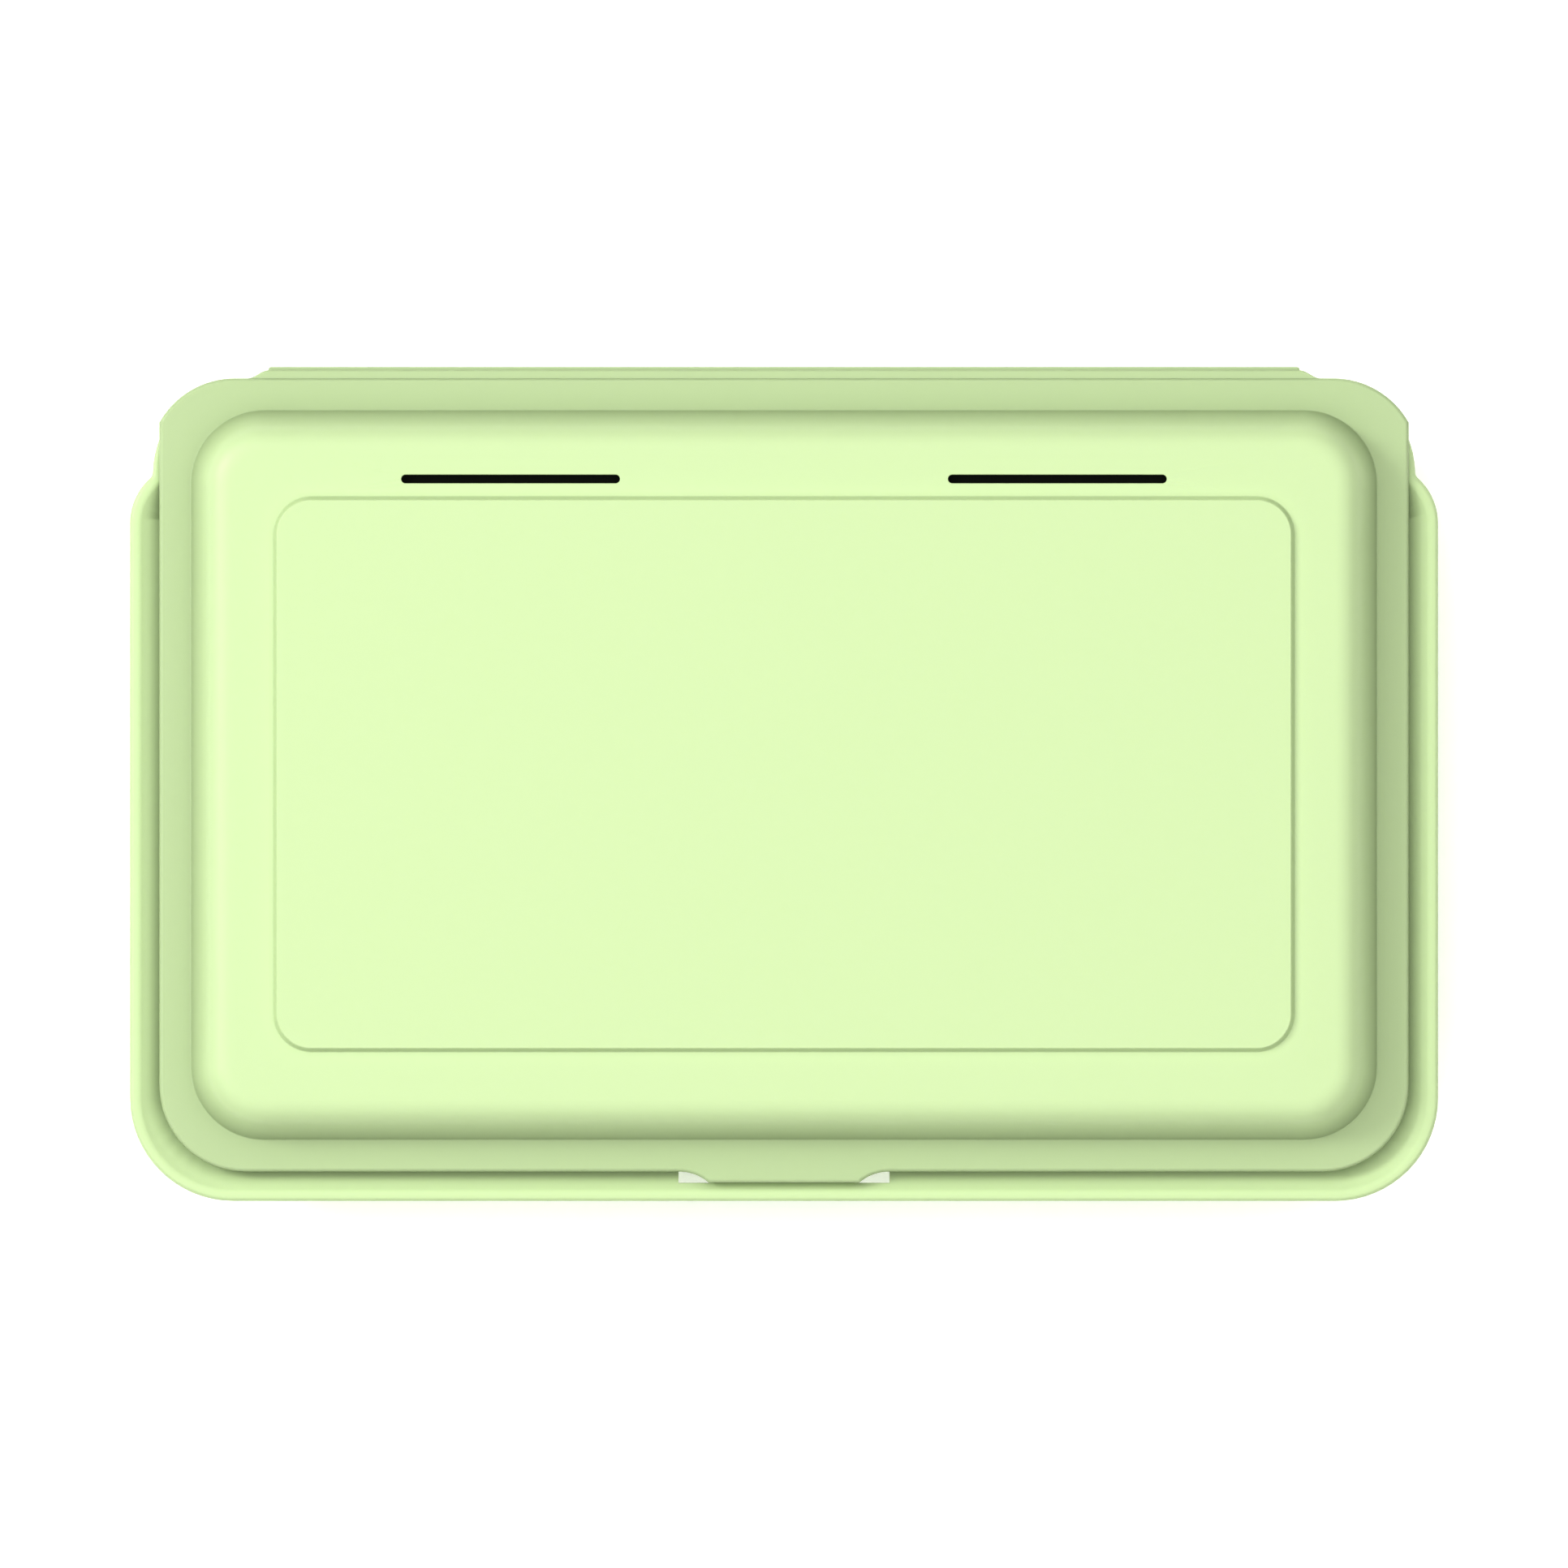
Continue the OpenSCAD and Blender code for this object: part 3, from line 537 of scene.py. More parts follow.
def make_base():
    """Flange with its gutter, tray with the posts inside, and the base's strip of the fold."""
    bm = bmesh.new()
    soft = 0.75 * MM
    skin(bm, [(base_outline(0.4 * MM), SKIRT), (base_outline(0.12 * MM), SKIRT + 0.12 * MM),
              (base_outline(), SKIRT + 0.4 * MM)]
         + [(base_outline(i), PARTING - soft + r) for i, r in quarter(soft, 5)])
    roll = [(GUTTER_ROLL * sin(t), GUTTER_ROLL * (1 - cos(t)))
            for t in (GUTTER_LEAN * n / 8 for n in range(9))]
    run = (PARTING - GUTTER - roll[-1][1]) / tan(GUTTER_LEAN)
    skin(bm, [(gutter_outline(CREST + i), PARTING - drop) for i, drop in roll]
         + [(gutter_outline(CREST + roll[-1][0] + run), GUTTER)])
    skin(bm, [(rounded(TRAY, i), z) for i, z in tray_levels(0, (0.53 * MM, SKIRT))])
    skin(bm, [(rounded(TRAY, i), z) for i, z in tray_levels(WALL, (1.95 * MM, PARTING))])
    opening = rounded(box_plan(2 * (DOOR_HIGH.x + DOOR_GAP), 2 * (DOOR_HIGH.y + DOOR_GAP), 1 * MM))
    skin(bm, [(opening, FLOOR), (opening, TRAY_FLOOR)])
    for x, y in FEET:
        recess = shifted(circle(FOOT_R + 0.1 * MM), x * MM, y * MM)
        skin(bm, [(recess, FLOOR), (recess, FLOOR + FOOT_RECESS)])
    # Screw post from the screw's well underneath up to its rim, as (radius, height) in millimetres
    post = [(3.2, 1.2), (3.2, 10), (1.55, 10), (1.55, 12), (3.5, 12), (3.7, 11.8), (3.7, 3)]
    for x, y in POSTS:
        skin(bm, [(shifted(circle(r * MM, 32), x * MM, y * MM), z * MM) for r, z in post])
    for z in (SKIRT, PARTING, GUTTER, FLOOR, TRAY_FLOOR, FLOOR + FOOT_RECESS):
        close_level(bm, z)
    half, front, back = LATCH_GAP
    cuts = [((-half, front, SKIRT - 1 * MM), (half, back, PARTING + 1 * MM))]
    for y in TABS:
        near, far = y - TAB_ROOM, y + TAB_ROOM
        cuts.append(((DOOR_LOW.x - 1 * MM, near, FLOOR + 0.8 * MM),
                     (-DOOR_HIGH.x, far, TRAY_FLOOR + 1 * MM)))
        cuts.append(((BEAD.x - 0.15 * MM, near, FLOOR - 1 * MM), (-DOOR_HIGH.x, far, FLOOR + 1.3 * MM)))
    bm = carve(bm, *cuts)
    for y in TABS:
        lying = Matrix.Translation((BEAD.x, y, BEAD.z)) @ Matrix.Rotation(pi / 2, 4, "X")
        bmesh.ops.create_cone(bm, cap_ends=True, segments=24, radius1=BEAD_R, radius2=BEAD_R,
                              depth=2 * TAB_ROOM + 0.2 * MM, matrix=lying)
    leaf(bm, -1)
    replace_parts(finish(bm, "base", "base", "case", base_green), "base_tray")


def make_fold():
    """Thin web that the lid folds on, closed off with round ends."""
    bm = bmesh.new()
    along_x(bm, lambda inset: shifted(circle(FOLD_R - inset, 24), FOLD_Y, PARTING),
            -FOLD_HALF, FOLD_HALF, 0.45 * MM)
    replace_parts(finish(bm, "fold", "base", "case", lid_green), "fold_web")


def tongue_shape(inset):
    """Side view of the latch's tongue: a round root, a flat tongue and a hooked end."""
    r, bottom = TONGUE_R - inset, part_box("latch_tongue")[0].z + inset
    hook = TONGUE_Y - r - 0.9 * MM
    return (list(arc((TONGUE_Y, TONGUE_Z), r, 0, 180, 12))
            + [(TONGUE_Y - r, bottom + 1.4 * MM), (hook, bottom + 1.1 * MM), (hook, bottom + 0.8 * MM),
               (TONGUE_Y - 0.4 * r, bottom), (TONGUE_Y + 0.6 * r, bottom),
               (TONGUE_Y + r, bottom + 0.4 * r)])


def make_tongue():
    """Tongue under the tab that hooks into the base."""
    bm = bmesh.new()
    along_x(bm, tongue_shape, -TONGUE_HALF, TONGUE_HALF, 0.3 * MM)
    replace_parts(finish(bm, "tongue", "latch", "case", lid_green), "latch_tongue")


# ---- The controls ----

def moulded(name, colour, second=None, rough=(0.38, 0.46), scale=60.0, ior=1.5):
    """Opaque plastic, ink or rubber: sheen, and sometimes tone, in slight patches, over a fine grain.

    The grain is drawn at about 0.3 mm, coarser than life, so that it shows at all.
    """
    made = Finish(name)
    patches = made.add("ShaderNodeTexNoise", Vector=made.place, Scale=scale, Detail=4.0)
    if second:
        tone = made.add("ShaderNodeMix", {"data_type": "RGBA"}, _0=patches.outputs[0], _6=linear(colour),
                        _7=linear(second))
        made.wire("Base Color", tone.outputs[2])
    else:
        made.set(Base_Color=linear(colour))
    sheen = made.add("ShaderNodeMapRange", Value=patches.outputs[0], To_Min=rough[0], To_Max=rough[1])
    made.wire("Roughness", sheen.outputs[0])
    made.set(IOR=ior)
    grain = made.add("ShaderNodeTexNoise", Vector=made.place, Scale=3200.0, Detail=2.0)
    pits = made.add("ShaderNodeBump", Strength=0.1, Distance=0.02 * MM, Height=grain.outputs[0])
    made.wire("Normal", pits.outputs[0])
    return made.material


def metal(name, colour, rough=(0.25, 0.38)):
    """Bare metal with marks along X, left by drawing or rolling, that stretch its highlights.

    The marks are drawn about 0.3 mm wide, coarser than life, so that they show at all.
    """
    made = Finish(name)
    made.set(Base_Color=linear(colour), Metallic=1.0)
    stretch = made.add("ShaderNodeMapping", Vector=made.place, Scale=(200.0, 3000.0, 3000.0))
    marks = made.add("ShaderNodeTexNoise", Vector=stretch.outputs[0], Scale=1.0, Detail=3.0)
    sheen = made.add("ShaderNodeMapRange", Value=marks.outputs[0], To_Min=rough[0], To_Max=rough[1])
    made.wire("Roughness", sheen.outputs[0])
    scratches = made.add("ShaderNodeBump", Strength=0.15, Distance=0.01 * MM, Height=marks.outputs[0])
    made.wire("Normal", scratches.outputs[0])
    return made.material


def circuit_board():
    """Glass-epoxy board under glossy green solder mask, with the copper tracks showing paler through it."""
    made = Finish("green_solder_mask_gloss")
    tracks = made.add("ShaderNodeTexBrick", Vector=made.place, Scale=170.0, Mortar_Size=0.03)
    tone = made.add("ShaderNodeMix", {"data_type": "RGBA"}, _0=tracks.outputs["Fac"], _6=linear("#1f6a3c"),
                    _7=linear("#3f8f58"))
    made.wire("Base Color", tone.outputs[2])
    made.set(Roughness=0.3, IOR=1.55)
    edges = made.add("ShaderNodeBump", Strength=0.3, Distance=0.035 * MM, Height=tracks.outputs["Fac"])
    made.wire("Normal", edges.outputs[0])
    return made.material


def dark_display():
    """Polished glass over a liquid-crystal panel that is off: near black, with a faint grid of cells.

    The cells are drawn 0.5 mm wide, coarser than life, so that the grid shows at all.
    """
    made = Finish("lcd_glass_polished")
    cells = made.add("ShaderNodeTexBrick", Vector=made.place, Scale=1000.0, Mortar_Size=0.05)
    tone = made.add("ShaderNodeMix", {"data_type": "RGBA"}, _0=cells.outputs["Fac"], _6=linear("#15191c"),
                    _7=linear("#23292d"))
    made.wire("Base Color", tone.outputs[2])
    made.set(Roughness=0.18, IOR=1.52)
    return made.material


def see_through(name, colour, rough, ior, clear, scale):
    """Clear plastic, with faint smears that break up what it reflects."""
    made = Finish(name)
    smears = made.add("ShaderNodeTexNoise", Vector=made.place, Scale=scale, Detail=5.0)
    sheen = made.add("ShaderNodeMapRange", Value=smears.outputs[0], To_Min=rough[0], To_Max=rough[1])
    made.wire("Roughness", sheen.outputs[0])
    made.set(Base_Color=linear(colour), IOR=ior, Transmission_Weight=clear)
    return made.material


def woven_cloth():
    """Dyed acoustic cloth, matt: the weave keeps the sound slots black from every side.

    The threads are drawn about 0.3 mm apart, coarser than life, so that the weave shows at all.
    """
    made = Finish("black_polyester_cloth_matt")
    warp = made.add("ShaderNodeTexWave", {"bands_direction": "X"}, Vector=made.place, Scale=1100.0)
    weft = made.add("ShaderNodeTexWave", {"bands_direction": "Y"}, Vector=made.place, Scale=1100.0)
    weave = made.add("ShaderNodeMath", {"operation": "MULTIPLY"}, _0=warp.outputs["Fac"],
                     _1=weft.outputs["Fac"])
    tone = made.add("ShaderNodeMix", {"data_type": "RGBA"}, _0=weave.outputs[0], _6=linear("#0f120b"),
                    _7=linear("#262c1c"))
    made.wire("Base Color", tone.outputs[2])
    made.set(Roughness=0.9)
    threads = made.add("ShaderNodeBump", Strength=0.5, Distance=0.1 * MM, Height=weave.outputs[0])
    made.wire("Normal", threads.outputs[0])
    return made.material


# Ivory ABS from a fine-textured mould: a dry, even sheen with no sharp highlights
deck_cream = moulded("ivory_abs_fine_texture", "#d3d0c5", "#d6d3c9")
# Sage ABS, satin: a soft sheen along the slots' rounded edges
grille_green = moulded("sage_abs_satin", "#8aa99c", "#90afa2")
# White pad-printing ink: opaque and duller than the cap it lies on
print_white = moulded("white_pad_print_ink", "#d9d8d2", "#d4d3cd", (0.5, 0.6))
# Sage ink screen-printed behind the window: flat colour with the window's gloss over it
border_ink = moulded("sage_screen_print_ink", "#93b0a4", "#98b5a9", (0.5, 0.6))
# Vulcanised rubber: near black, dull and slightly dusty
rubber = moulded("charcoal_rubber_feet", "#363c33", "#3f453b", (0.75, 0.9), 200.0, 1.52)
# Moulded silicone: milky and soft, with hardly any highlight
silicone = moulded("milky_silicone_keypad", "#b8bcb6", "#c0c4be", (0.5, 0.62), 80.0, 1.41)
# Nickel plate on spring steel: bright, with short drawn marks
steel = metal("nickel_plated_steel", "#b9bdc0")
# Zinc plate on steel, satin: greyer and more matt than nickel
screw_steel = metal("zinc_plated_steel_satin", "#aab0b5", (0.3, 0.45))
# Clear acrylic, polished: the display and border show through under a clean reflection
window_clear = see_through("clear_acrylic_polished", "#f4f9fa", (0.02, 0.09), 1.49, 1.0, 90.0)
# Warm clear acrylic, lightly frosted: a small bright bead in the deck
lens_clear = see_through("warm_acrylic_frosted_lens", "#fbf4c8", (0.1, 0.2), 1.49, 0.7, 300.0)
board_green = circuit_board()
display_dark = dark_display()
cloth_black = woven_cloth()

DECK_TOP = DECK_HIGH.z
DECK_UNDER = DECK_TOP - 2.4 * MM
VOLUMES = ("volume_down_button", "volume_up_button")
# Rebates in the deck, in millimetres: width, depth, corner radius, width of the ledge, depth of the ledge
WINDOW_REBATE = (134, 78, 1, 3, 1.2)
GRILLE_REBATE = (38, 14, 0.6, 1, 1.4)
COLLAR = 1.5 * MM                        # thickness of the collar that keeps a cap in the deck
SIGN_SUNK = 0.6 * MM                     # how far a raised sign goes into its cap
SIGN_PROUD = 0.25 * MM                   # how far it stands out of the cap


def middle(node):
    """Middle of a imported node, seen from above."""
    low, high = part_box(node)
    return (low.x + high.x) / 2, (low.y + high.y) / 2


GRILLES_AT = [(side * SLOT_AT[0], middle("speaker_grilles")[1]) for side in (-1, 1)]


def square(width, depth, radius=0.6):
    """Rounded rectangle, given in millimetres, as a function of an inset."""
    return lambda inset: rounded(box_plan(width * MM - 2 * inset, depth * MM - 2 * inset,
                                          max(radius * MM - inset, 0.1 * MM)))


def oval(length, width):
    """Slot with round ends, given in millimetres, as a function of an inset."""
    return lambda inset: pill(length * MM, width * MM, -inset)


def disc(radius, count=64):
    """Circle as a function of an inset."""
    return lambda inset: circle(radius - inset, count)


def moved(shape, x, y):
    """Shape, as a function of an inset, moved by x and y."""
    return lambda inset: shifted(shape(inset), x, y)


def band(bm, shape, level, profile):
    """Closed ring that follows a shape; profile is (inset, height above level) in millimetres."""
    skin(bm, [(shape(i * MM), level + z * MM) for i, z in profile + profile[:1]])


def crown(across, top, rise):
    """(radius, height) over a shallow dome, from just inside its edge to its middle."""
    return [(across * cos(t), top - rise + rise * sin(t))
            for t in (pi / 2 * n / 6 for n in range(1, 6))] + [(0, top)]


def hole(bm, shape, soft=0.3 * MM):
    """Wall of a hole through the deck with its top edge rounded over."""
    skin(bm, [(shape(0), DECK_UNDER)] + [(shape(-i), DECK_TOP - soft + r) for i, r in quarter(soft, 3)])


def rebate(bm, at, width, depth, radius, ledge, drop):
    """Opening through the deck with a ledge round it that carries a window or a grille."""
    outer = moved(square(width, depth, radius), *at)
    inner = moved(square(width - 2 * ledge, depth - 2 * ledge, radius), *at)
    ledge_z = DECK_TOP - drop * MM
    skin(bm, [(outer(0), DECK_TOP), (outer(0), ledge_z), (inner(0), ledge_z), (inner(0), DECK_UNDER)])
    return outer


def make_deck():
    """Deck with its holes, the raised rings round them, and the tubes that stand on the screw posts."""
    bm = bmesh.new()
    soft = 0.5 * MM
    skin(bm, [(rounded(DECK), DECK_UNDER)]
         + [(rounded(DECK, i), DECK_TOP - soft + r) for i, r in quarter(soft)])
    wells = []
    for node in BUTTONS:
        low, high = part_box(node)
        wells.append(moved(disc((high.x - low.x) / 2 - 0.8 * MM), *middle(node)))
    for node in VOLUMES:
        wells.append(moved(oval(17.6, 9.6), *middle(node)))
    for shape in wells:
        hole(bm, shape)
        band(bm, shape, DECK_TOP,
             [(-0.5, -0.1), (-0.5, 0.3), (-0.75, 0.5), (-1.5, 0.5), (-1.8, 0.3), (-1.8, -0.1)])
    hole(bm, moved(oval(17, 5.6), middle("power_switch")[0], middle("home_button")[1]))
    hole(bm, moved(disc(1.85 * MM, 32), *middle("power_light")), 0.2 * MM)
    window_edge = rebate(bm, middle("screen_window"), *WINDOW_REBATE)
    band(bm, window_edge, DECK_TOP,
         [(-0.4, -0.1), (-0.4, 0.5), (-0.8, 0.9), (-2.6, 0.9), (-3.4, 0.4), (-3.6, -0.1)])
    for place in GRILLES_AT:
        rebate(bm, place, *GRILLE_REBATE)
    close_level(bm, DECK_TOP)
    close_level(bm, DECK_UNDER)
    tube = (DECK_LOW.z - DECK_UNDER) / MM
    for x, y in POSTS:
        band(bm, moved(disc(3.5 * MM, 32), x * MM, y * MM), DECK_UNDER,
             [(0, 0.1), (0, tube), (2.05, tube), (2.05, 0.1)])
    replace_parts(finish(bm, "deck", "base", "deck", deck_cream), "control_deck")


def make_screen():
    """Clear window in its rebate, and the border printed under its edge."""
    place = middle("screen_window")
    bm = bmesh.new()
    plate(bm, moved(square(133.6, 77.6, 0.9), *place), DECK_TOP - 1.1 * MM, DECK_TOP, 0.25 * MM)
    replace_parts(finish(bm, "window", "base", "window", window_clear), "screen_window")
    bm = bmesh.new()
    band(bm, moved(square(133.4, 77.4, 0.8), *place), DECK_TOP - WINDOW_REBATE[4] * MM,
         [(0, 0), (0, 0.08), (6.5, 0.08), (6.5, 0)])
    finish(bm, "window_border", "base", "deck", border_ink)


def make_grilles():
    """Two grilles, each with five rows of three slots."""
    bm = bmesh.new()
    for x, y in GRILLES_AT:
        slots = [moved(oval(10, 1.2), x + column * 12 * MM, y + row * 2.5 * MM)
                 for row in range(-2, 3) for column in (-1, 0, 1)]
        plate(bm, moved(square(37.6, 13.6, 0.9), x, y), DECK_TOP - 1.4 * MM, DECK_TOP, 0.25 * MM, slots)
    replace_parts(finish(bm, "grilles", "base", "grille", grille_green), "speaker_grilles")


def star(inset, points=5):
    spread = [(4.6 if n % 2 == 0 else 2.3) * MM - inset for n in range(2 * points)]
    return [(r * sin(pi * n / points), r * cos(pi * n / points)) for n, r in enumerate(spread)][::-1]


def polygon(count, radius, turn):
    return lambda inset: [((radius * MM - inset) * cos(radians(turn) + 2 * pi * n / count),
                           (radius * MM - inset) * sin(radians(turn) + 2 * pi * n / count))
                          for n in range(count)]


def heart(inset):
    """The heart curve x = 16 sin^3 t, y = 13 cos t - 5 cos 2t - 2 cos 3t - cos 4t, lifted to the middle."""
    size = 0.27 * MM - inset / 16
    return [(16 * size * sin(t) ** 3,
             size * (13 * cos(t) - 5 * cos(2 * t) - 2 * cos(3 * t) - cos(4 * t) + 1))
            for t in (2 * pi * n / 48 for n in range(48))][::-1]


def crescent(inset):
    outer = list(arc((0, 0), 4.4 * MM - inset, 60, 300, 32))
    inner = list(arc((2.4 * MM, 0), 3.81 * MM + inset, 270, 90, 24))
    return outer + inner[1:-1]


def house(inset):
    inset *= 0.7
    return [(-2.6 * MM + inset, -3.0 * MM + inset), (2.6 * MM - inset, -3.0 * MM + inset),
            (2.6 * MM - inset, 0.4 * MM), (3.9 * MM - inset, 0.4 * MM + inset), (0, 4.0 * MM - inset),
            (-3.9 * MM + inset, 0.4 * MM + inset), (-2.6 * MM + inset, 0.4 * MM)]


def plus(inset):
    arm, half = 3.2 * MM - inset, 0.65 * MM - inset
    return [(half, half), (half, arm), (-half, arm), (-half, half), (-arm, half), (-arm, -half),
            (-half, -half), (-half, -arm), (half, -arm), (half, -half), (arm, -half), (arm, half)]


# Round buttons: finish, colour, the record's slot, sign on the cap
BUTTONS = {
    "button_left_rear": ("coral_abs_gloss", "#cf8577", "slider", polygon(48, 4.0, 0)),
    "button_left_middle": ("yellow_abs_gloss", "#d2b262", "yellow", polygon(3, 5.0, 90)),
    "button_left_front": ("sky_blue_abs_gloss", "#76a2bd", "blue", polygon(4, 5.0, 45)),
    "button_right_rear": ("violet_abs_gloss", "#9f91bb", "violet", star),
    "button_right_middle": ("mint_abs_gloss", "#84b29b", "mint", heart),
    "button_right_front": ("pink_abs_gloss", "#c991a9", "pink", crescent),
    "home_button": ("leaf_green_abs_gloss", "#84ab6e", "leaf", house),
}


def raised_sign(bm, shape, at, top):
    """Small raised sign on a cap, printed white."""
    low, high = top - SIGN_SUNK, top + SIGN_PROUD
    start = len(bm.faces)
    skin(bm, [(shifted(shape(i), *at), z) for i, z in
              ((0, low), (0, high - 0.15 * MM), (0.05 * MM, high - 0.04 * MM), (0.15 * MM, high))])
    close_level(bm, low)
    close_level(bm, high)
    bm.faces.ensure_lookup_table()
    for face in bm.faces[start:]:
        face.material_index = 1


def make_button(node):
    """Round cap, slightly domed, over the collar that keeps it in the deck."""
    finish_name, colour, slot, sign = BUTTONS[node]
    low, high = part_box(node)
    at = middle(node)
    collar = (high.x - low.x) / 2
    radius = collar - 1.1 * MM
    soft, rise = 1.1 * MM, 0.35 * MM
    profile = [(0, low.z), (collar - 0.2 * MM, low.z), (collar, low.z + 0.2 * MM),
               (collar, low.z + COLLAR), (radius, low.z + COLLAR)]
    profile += [(radius - i, high.z - rise - soft + r) for i, r in quarter(soft, 6)]
    profile += crown(radius - soft, high.z, rise)
    bm = bmesh.new()
    turned(bm, profile, at, 64)
    raised_sign(bm, sign, at, high.z)
    # Gloss ABS: a small clear highlight on each domed cap
    cap = moulded(finish_name, colour, None, (0.22, 0.3))
    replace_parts(finish(bm, "cap_" + node, node, slot, cap, print_white), node)


def make_volume(node, sign):
    """Oval cap, slightly domed, over its collar."""
    low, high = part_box(node)
    at = middle(node)
    bm = bmesh.new()
    brim, soft, rise = 1 * MM, 0.9 * MM, 0.3 * MM
    shape = moved(oval(19, 11), *at)
    levels = [(0.2 * MM, low.z), (0, low.z + 0.2 * MM), (0, low.z + COLLAR), (brim, low.z + COLLAR)]
    levels += [(brim + i, high.z - rise - soft + r) for i, r in quarter(soft)]
    levels += [(brim + soft + 3 * MM * t, high.z - rise + rise * sin(pi / 2 * t))
               for t in (0.25, 0.5, 0.75, 1)]
    skin(bm, [(shape(i), z) for i, z in levels])
    close_level(bm, low.z)
    close_level(bm, high.z)
    raised_sign(bm, sign, at, high.z)
    # The same gloss ABS as the round caps
    cap = moulded("yellow_abs_gloss_" + node, "#d2b262", None, (0.22, 0.3))
    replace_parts(finish(bm, "cap_" + node, node, "yellow", cap, print_white), node)


def make_slider():
    """Sliding knob with three finger ridges."""
    low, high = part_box("power_slider")
    x, y = middle("power_slider")
    bm = bmesh.new()
    plate(bm, moved(oval(18, 9), x, y), DECK_UNDER - 1.2 * MM, DECK_UNDER - 0.1 * MM, 0.2 * MM)
    plate(bm, moved(oval(10, 5), x, y), DECK_UNDER - 0.3 * MM, high.z, 0.4 * MM)
    plate(bm, moved(square(2, 3, 0.3), x, y), low.z, DECK_UNDER - 0.9 * MM, 0.1 * MM)
    for step in (-1, 0, 1):
        plate(bm, moved(square(0.8, 4.2, 0.3), x + step * 2 * MM, y), high.z - 0.5 * MM,
              high.z + 0.5 * MM, 0.2 * MM)
    # Satin ABS: duller than the caps, so that the finger ridges read
    knob = moulded("coral_abs_satin", "#cf8577", None, (0.35, 0.42))
    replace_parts(finish(bm, "knob", "power_slider", "slider", knob), "power_slider")


def make_light():
    """Round lens with a domed end that stands in its hole in the deck."""
    low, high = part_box("power_light")
    radius, rise = high.x - middle("power_light")[0], 0.8 * MM
    bm = bmesh.new()
    turned(bm, [(0, low.z), (radius, low.z), (radius, high.z - rise)] + crown(radius, high.z, rise),
           middle("power_light"), 32)
    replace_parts(finish(bm, "lens", "base", "light", lens_clear), "power_light")


KEYPADS = {
    "keypad_left": ("button_left_rear", "button_left_middle", "button_left_front"),
    "keypad_right": ("button_right_rear", "button_right_middle", "button_right_front"),
    "keypad_front": ("volume_down_button", "home_button", "volume_up_button"),
}
PAD = 1 * MM                             # thickness of a keypad's sheet


def make_keypad(pad, pressed_by):
    """Silicone sheet on the key board, with a dome under each button, built at rest; nothing here squashes
    it when the button is pressed.
    """
    low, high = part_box(pad)
    size, foot, rise = high - low, low.z + PAD, high.z - low.z - PAD
    bm = bmesh.new()
    plate(bm, moved(square(size.x / MM, size.y / MM, 1.5), *middle(pad)), low.z, foot, 0.2 * MM)
    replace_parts(finish(bm, "sheet_" + pad, "base", "silicone", silicone), pad)
    for node in pressed_by:
        profile = [(0, 0), (4.4 * MM, 0), (4.2 * MM, 0.15 * MM), (4.05 * MM, 0.5 * MM),
                   (2.9 * MM, rise - 0.5 * MM), (2.75 * MM, rise - 0.15 * MM), (2.55 * MM, rise),
                   (0, rise)]
        bm = bmesh.new()
        turned(bm, [(r, foot + h) for r, h in profile], middle(node), 32)
        dome = finish(bm, "dome_" + node, "base", "silicone", silicone)
        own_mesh(dome)


# ---- The underside ----

def make_feet():
    """Four round feet with a rounded rim and two ring grooves in the sole."""
    profile = [(0, 1.79), (5.9, 1.79), (6.0, 1.6), (6.0, 0.7), (5.85, 0.3), (5.4, 0.05), (4.9, 0),
               (4.2, 0), (4.0, 0.25), (3.4, 0.25), (3.2, 0), (2.4, 0), (2.2, 0.25), (1.6, 0.25),
               (1.4, 0), (0, 0)]
    bm = bmesh.new()
    for x, y in FEET:
        turned(bm, [(r * MM, z * MM) for r, z in profile], (x * MM, y * MM))
    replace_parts(finish(bm, "feet", "base", "feet", rubber), "foot_pads")


def make_door():
    """Battery door with its tabs, its screw recess and a patch of finger ridges."""
    bottom, top = DOOR_LOW.z, DOOR_HIGH.z
    left, right = DOOR_LOW.x + 2 * MM, DOOR_HIGH.x
    size = (right - left, DOOR_HIGH.y - DOOR_LOW.y)
    body = moved(square(size[0] / MM, size[1] / MM, 1.2), (left + right) / 2, 0)
    bm = bmesh.new()
    soft = 0.35 * MM
    skin(bm, [(body(i), bottom + soft - r) for i, r in reversed(quarter(soft, 3))]
         + [(body(i), top - soft + r) for i, r in quarter(soft, 3)])
    well = [(2.7, 0), (2.45, 0.25), (2.4, 0.8), (1.5, 0.8), (1.5, 1.6)]
    screw = middle("battery_door_screw")
    skin(bm, [(shifted(circle(r * MM, 32), *screw), bottom + z * MM) for r, z in well])
    close_level(bm, bottom)
    close_level(bm, top)
    for y in TABS:
        plate(bm, moved(square(3.4, 6, 0.4), left - 0.3 * MM, y), bottom + 1 * MM, top, 0.15 * MM)
    for step in range(5):
        x = right - 12 * MM - step * 2.2 * MM
        plate(bm, moved(square(0.9, 16, 0.4), x, 0), bottom - 0.35 * MM, bottom + 0.4 * MM, 0.2 * MM)
    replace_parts(finish(bm, "door", "battery_door", "case", base_green), "battery_door")


